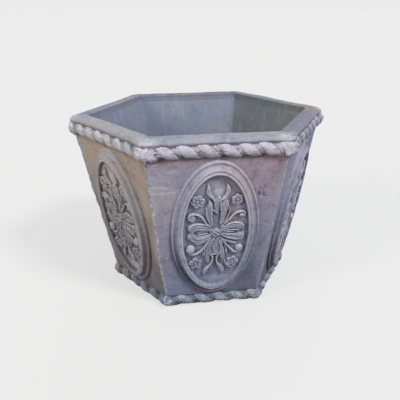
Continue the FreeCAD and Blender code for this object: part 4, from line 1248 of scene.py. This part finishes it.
# Camera: (yaw, pitch, roll)
CAMERA_ANGLES = (-8.385, 20.802, -0.250)
CAMERA_DISTANCE = 1053.0
CAMERA_AIM_LEVEL = 156.9
CAMERA_SLIDE = (0.2, -14.6)
CAMERA_LENS = 49.9
CAMERA_SENSOR = 36.0
FLOOR_SIZE = 12000.0
FLOOR_TONE = tone(150, 150, 154)
# Tone and glow of the floor where it is seen: lit, they look like the backdrop
FLOOR_SEEN = tone(114, 114, 114)
FLOOR_GLOW = tone(210, 210, 210)
BACKDROP = tone(235, 235, 235)
SKY_LIGHT = (0.95, 0.97, 1.0, 1.0)
SKY_STRENGTH = 0.42


def plain_stage():
    """Pale floor that shows as pale as the backdrop and keeps the object's shadow."""
    sheet = bmesh.new()
    bmesh.ops.create_grid(sheet, x_segments=2, y_segments=2, size=FLOOR_SIZE * MM)
    floor = linked("stage_floor", mesh_of("stage_floor", sheet))
    graph = Graph(bpy.data.materials.new("stage_floor"))
    colour = graph.mix(graph.seen(), FLOOR_TONE, FLOOR_SEEN)
    glow = graph.mix(graph.seen(), tone(0, 0, 0), FLOOR_GLOW)
    floor.data.materials.append(graph.finish(
        Base_Color=colour, Roughness=0.95, Specular_IOR_Level=0.0, Emission_Color=glow,
        Emission_Strength=1.0
    ))


def photo_camera():
    """Camera at the photograph's viewing angle."""
    yaw, pitch, roll = (radians(angle) for angle in CAMERA_ANGLES)
    back = Vector((sin(yaw) * cos(pitch), -cos(yaw) * cos(pitch), sin(pitch)))
    right = Vector((0, 0, 1)).cross(back).normalized()
    up = back.cross(right)
    place = Vector((0, 0, CAMERA_AIM_LEVEL)) + back * CAMERA_DISTANCE
    place = place + right * CAMERA_SLIDE[0] + up * CAMERA_SLIDE[1]
    rolled_right = cos(roll) * right + sin(roll) * up
    rolled_up = -sin(roll) * right + cos(roll) * up
    turn = Matrix((rolled_right, rolled_up, back)).transposed().to_4x4()
    lens = bpy.data.cameras.new("photo_camera")
    lens.lens = CAMERA_LENS
    lens.sensor_width = CAMERA_SENSOR
    camera = linked("photo_camera", lens)
    camera.matrix_world = Matrix.Translation(place * MM) @ turn
    bpy.context.scene.camera = camera


def soft_sun(name, toward, strength, angle, colour):
    """Wide soft lamp that lights the whole stage evenly."""
    lamp = bpy.data.lights.new(name, "SUN")
    lamp.energy = strength
    lamp.angle = radians(angle)
    lamp.color = colour
    turn = Vector(toward).to_track_quat("Z", "Y")
    linked(name, lamp).matrix_world = turn.to_matrix().to_4x4()


def studio():
    """Soft lamps and a world that is pale to the camera."""
    soft_sun("key_lamp", (0.66, -0.80, 1.05), 2.35, 12.0, (1.0, 0.99, 0.98))
    soft_sun("side_lamp", (-1.0, -0.58, 0.55), 1.35, 18.0, (1.0, 0.94, 0.87))
    soft_sun("back_lamp", (0.30, 1.0, 0.45), 0.6, 40.0, (0.96, 0.98, 1.0))
    world = bpy.data.worlds.new("studio")
    bpy.context.scene.world = world
    graph = Graph(world)
    sky = graph.node("ShaderNodeBackground", {}, {0: SKY_LIGHT, 1: SKY_STRENGTH})
    shown = graph.node("ShaderNodeBackground", {}, {0: BACKDROP})
    pick = graph.node("ShaderNodeMixShader", {}, {0: graph.seen(), 1: sky, 2: shown})
    graph.node("ShaderNodeOutputWorld", {}, {0: pick})


plain_stage()
photo_camera()
studio()
bpy.context.scene.view_settings.view_transform = "Standard"
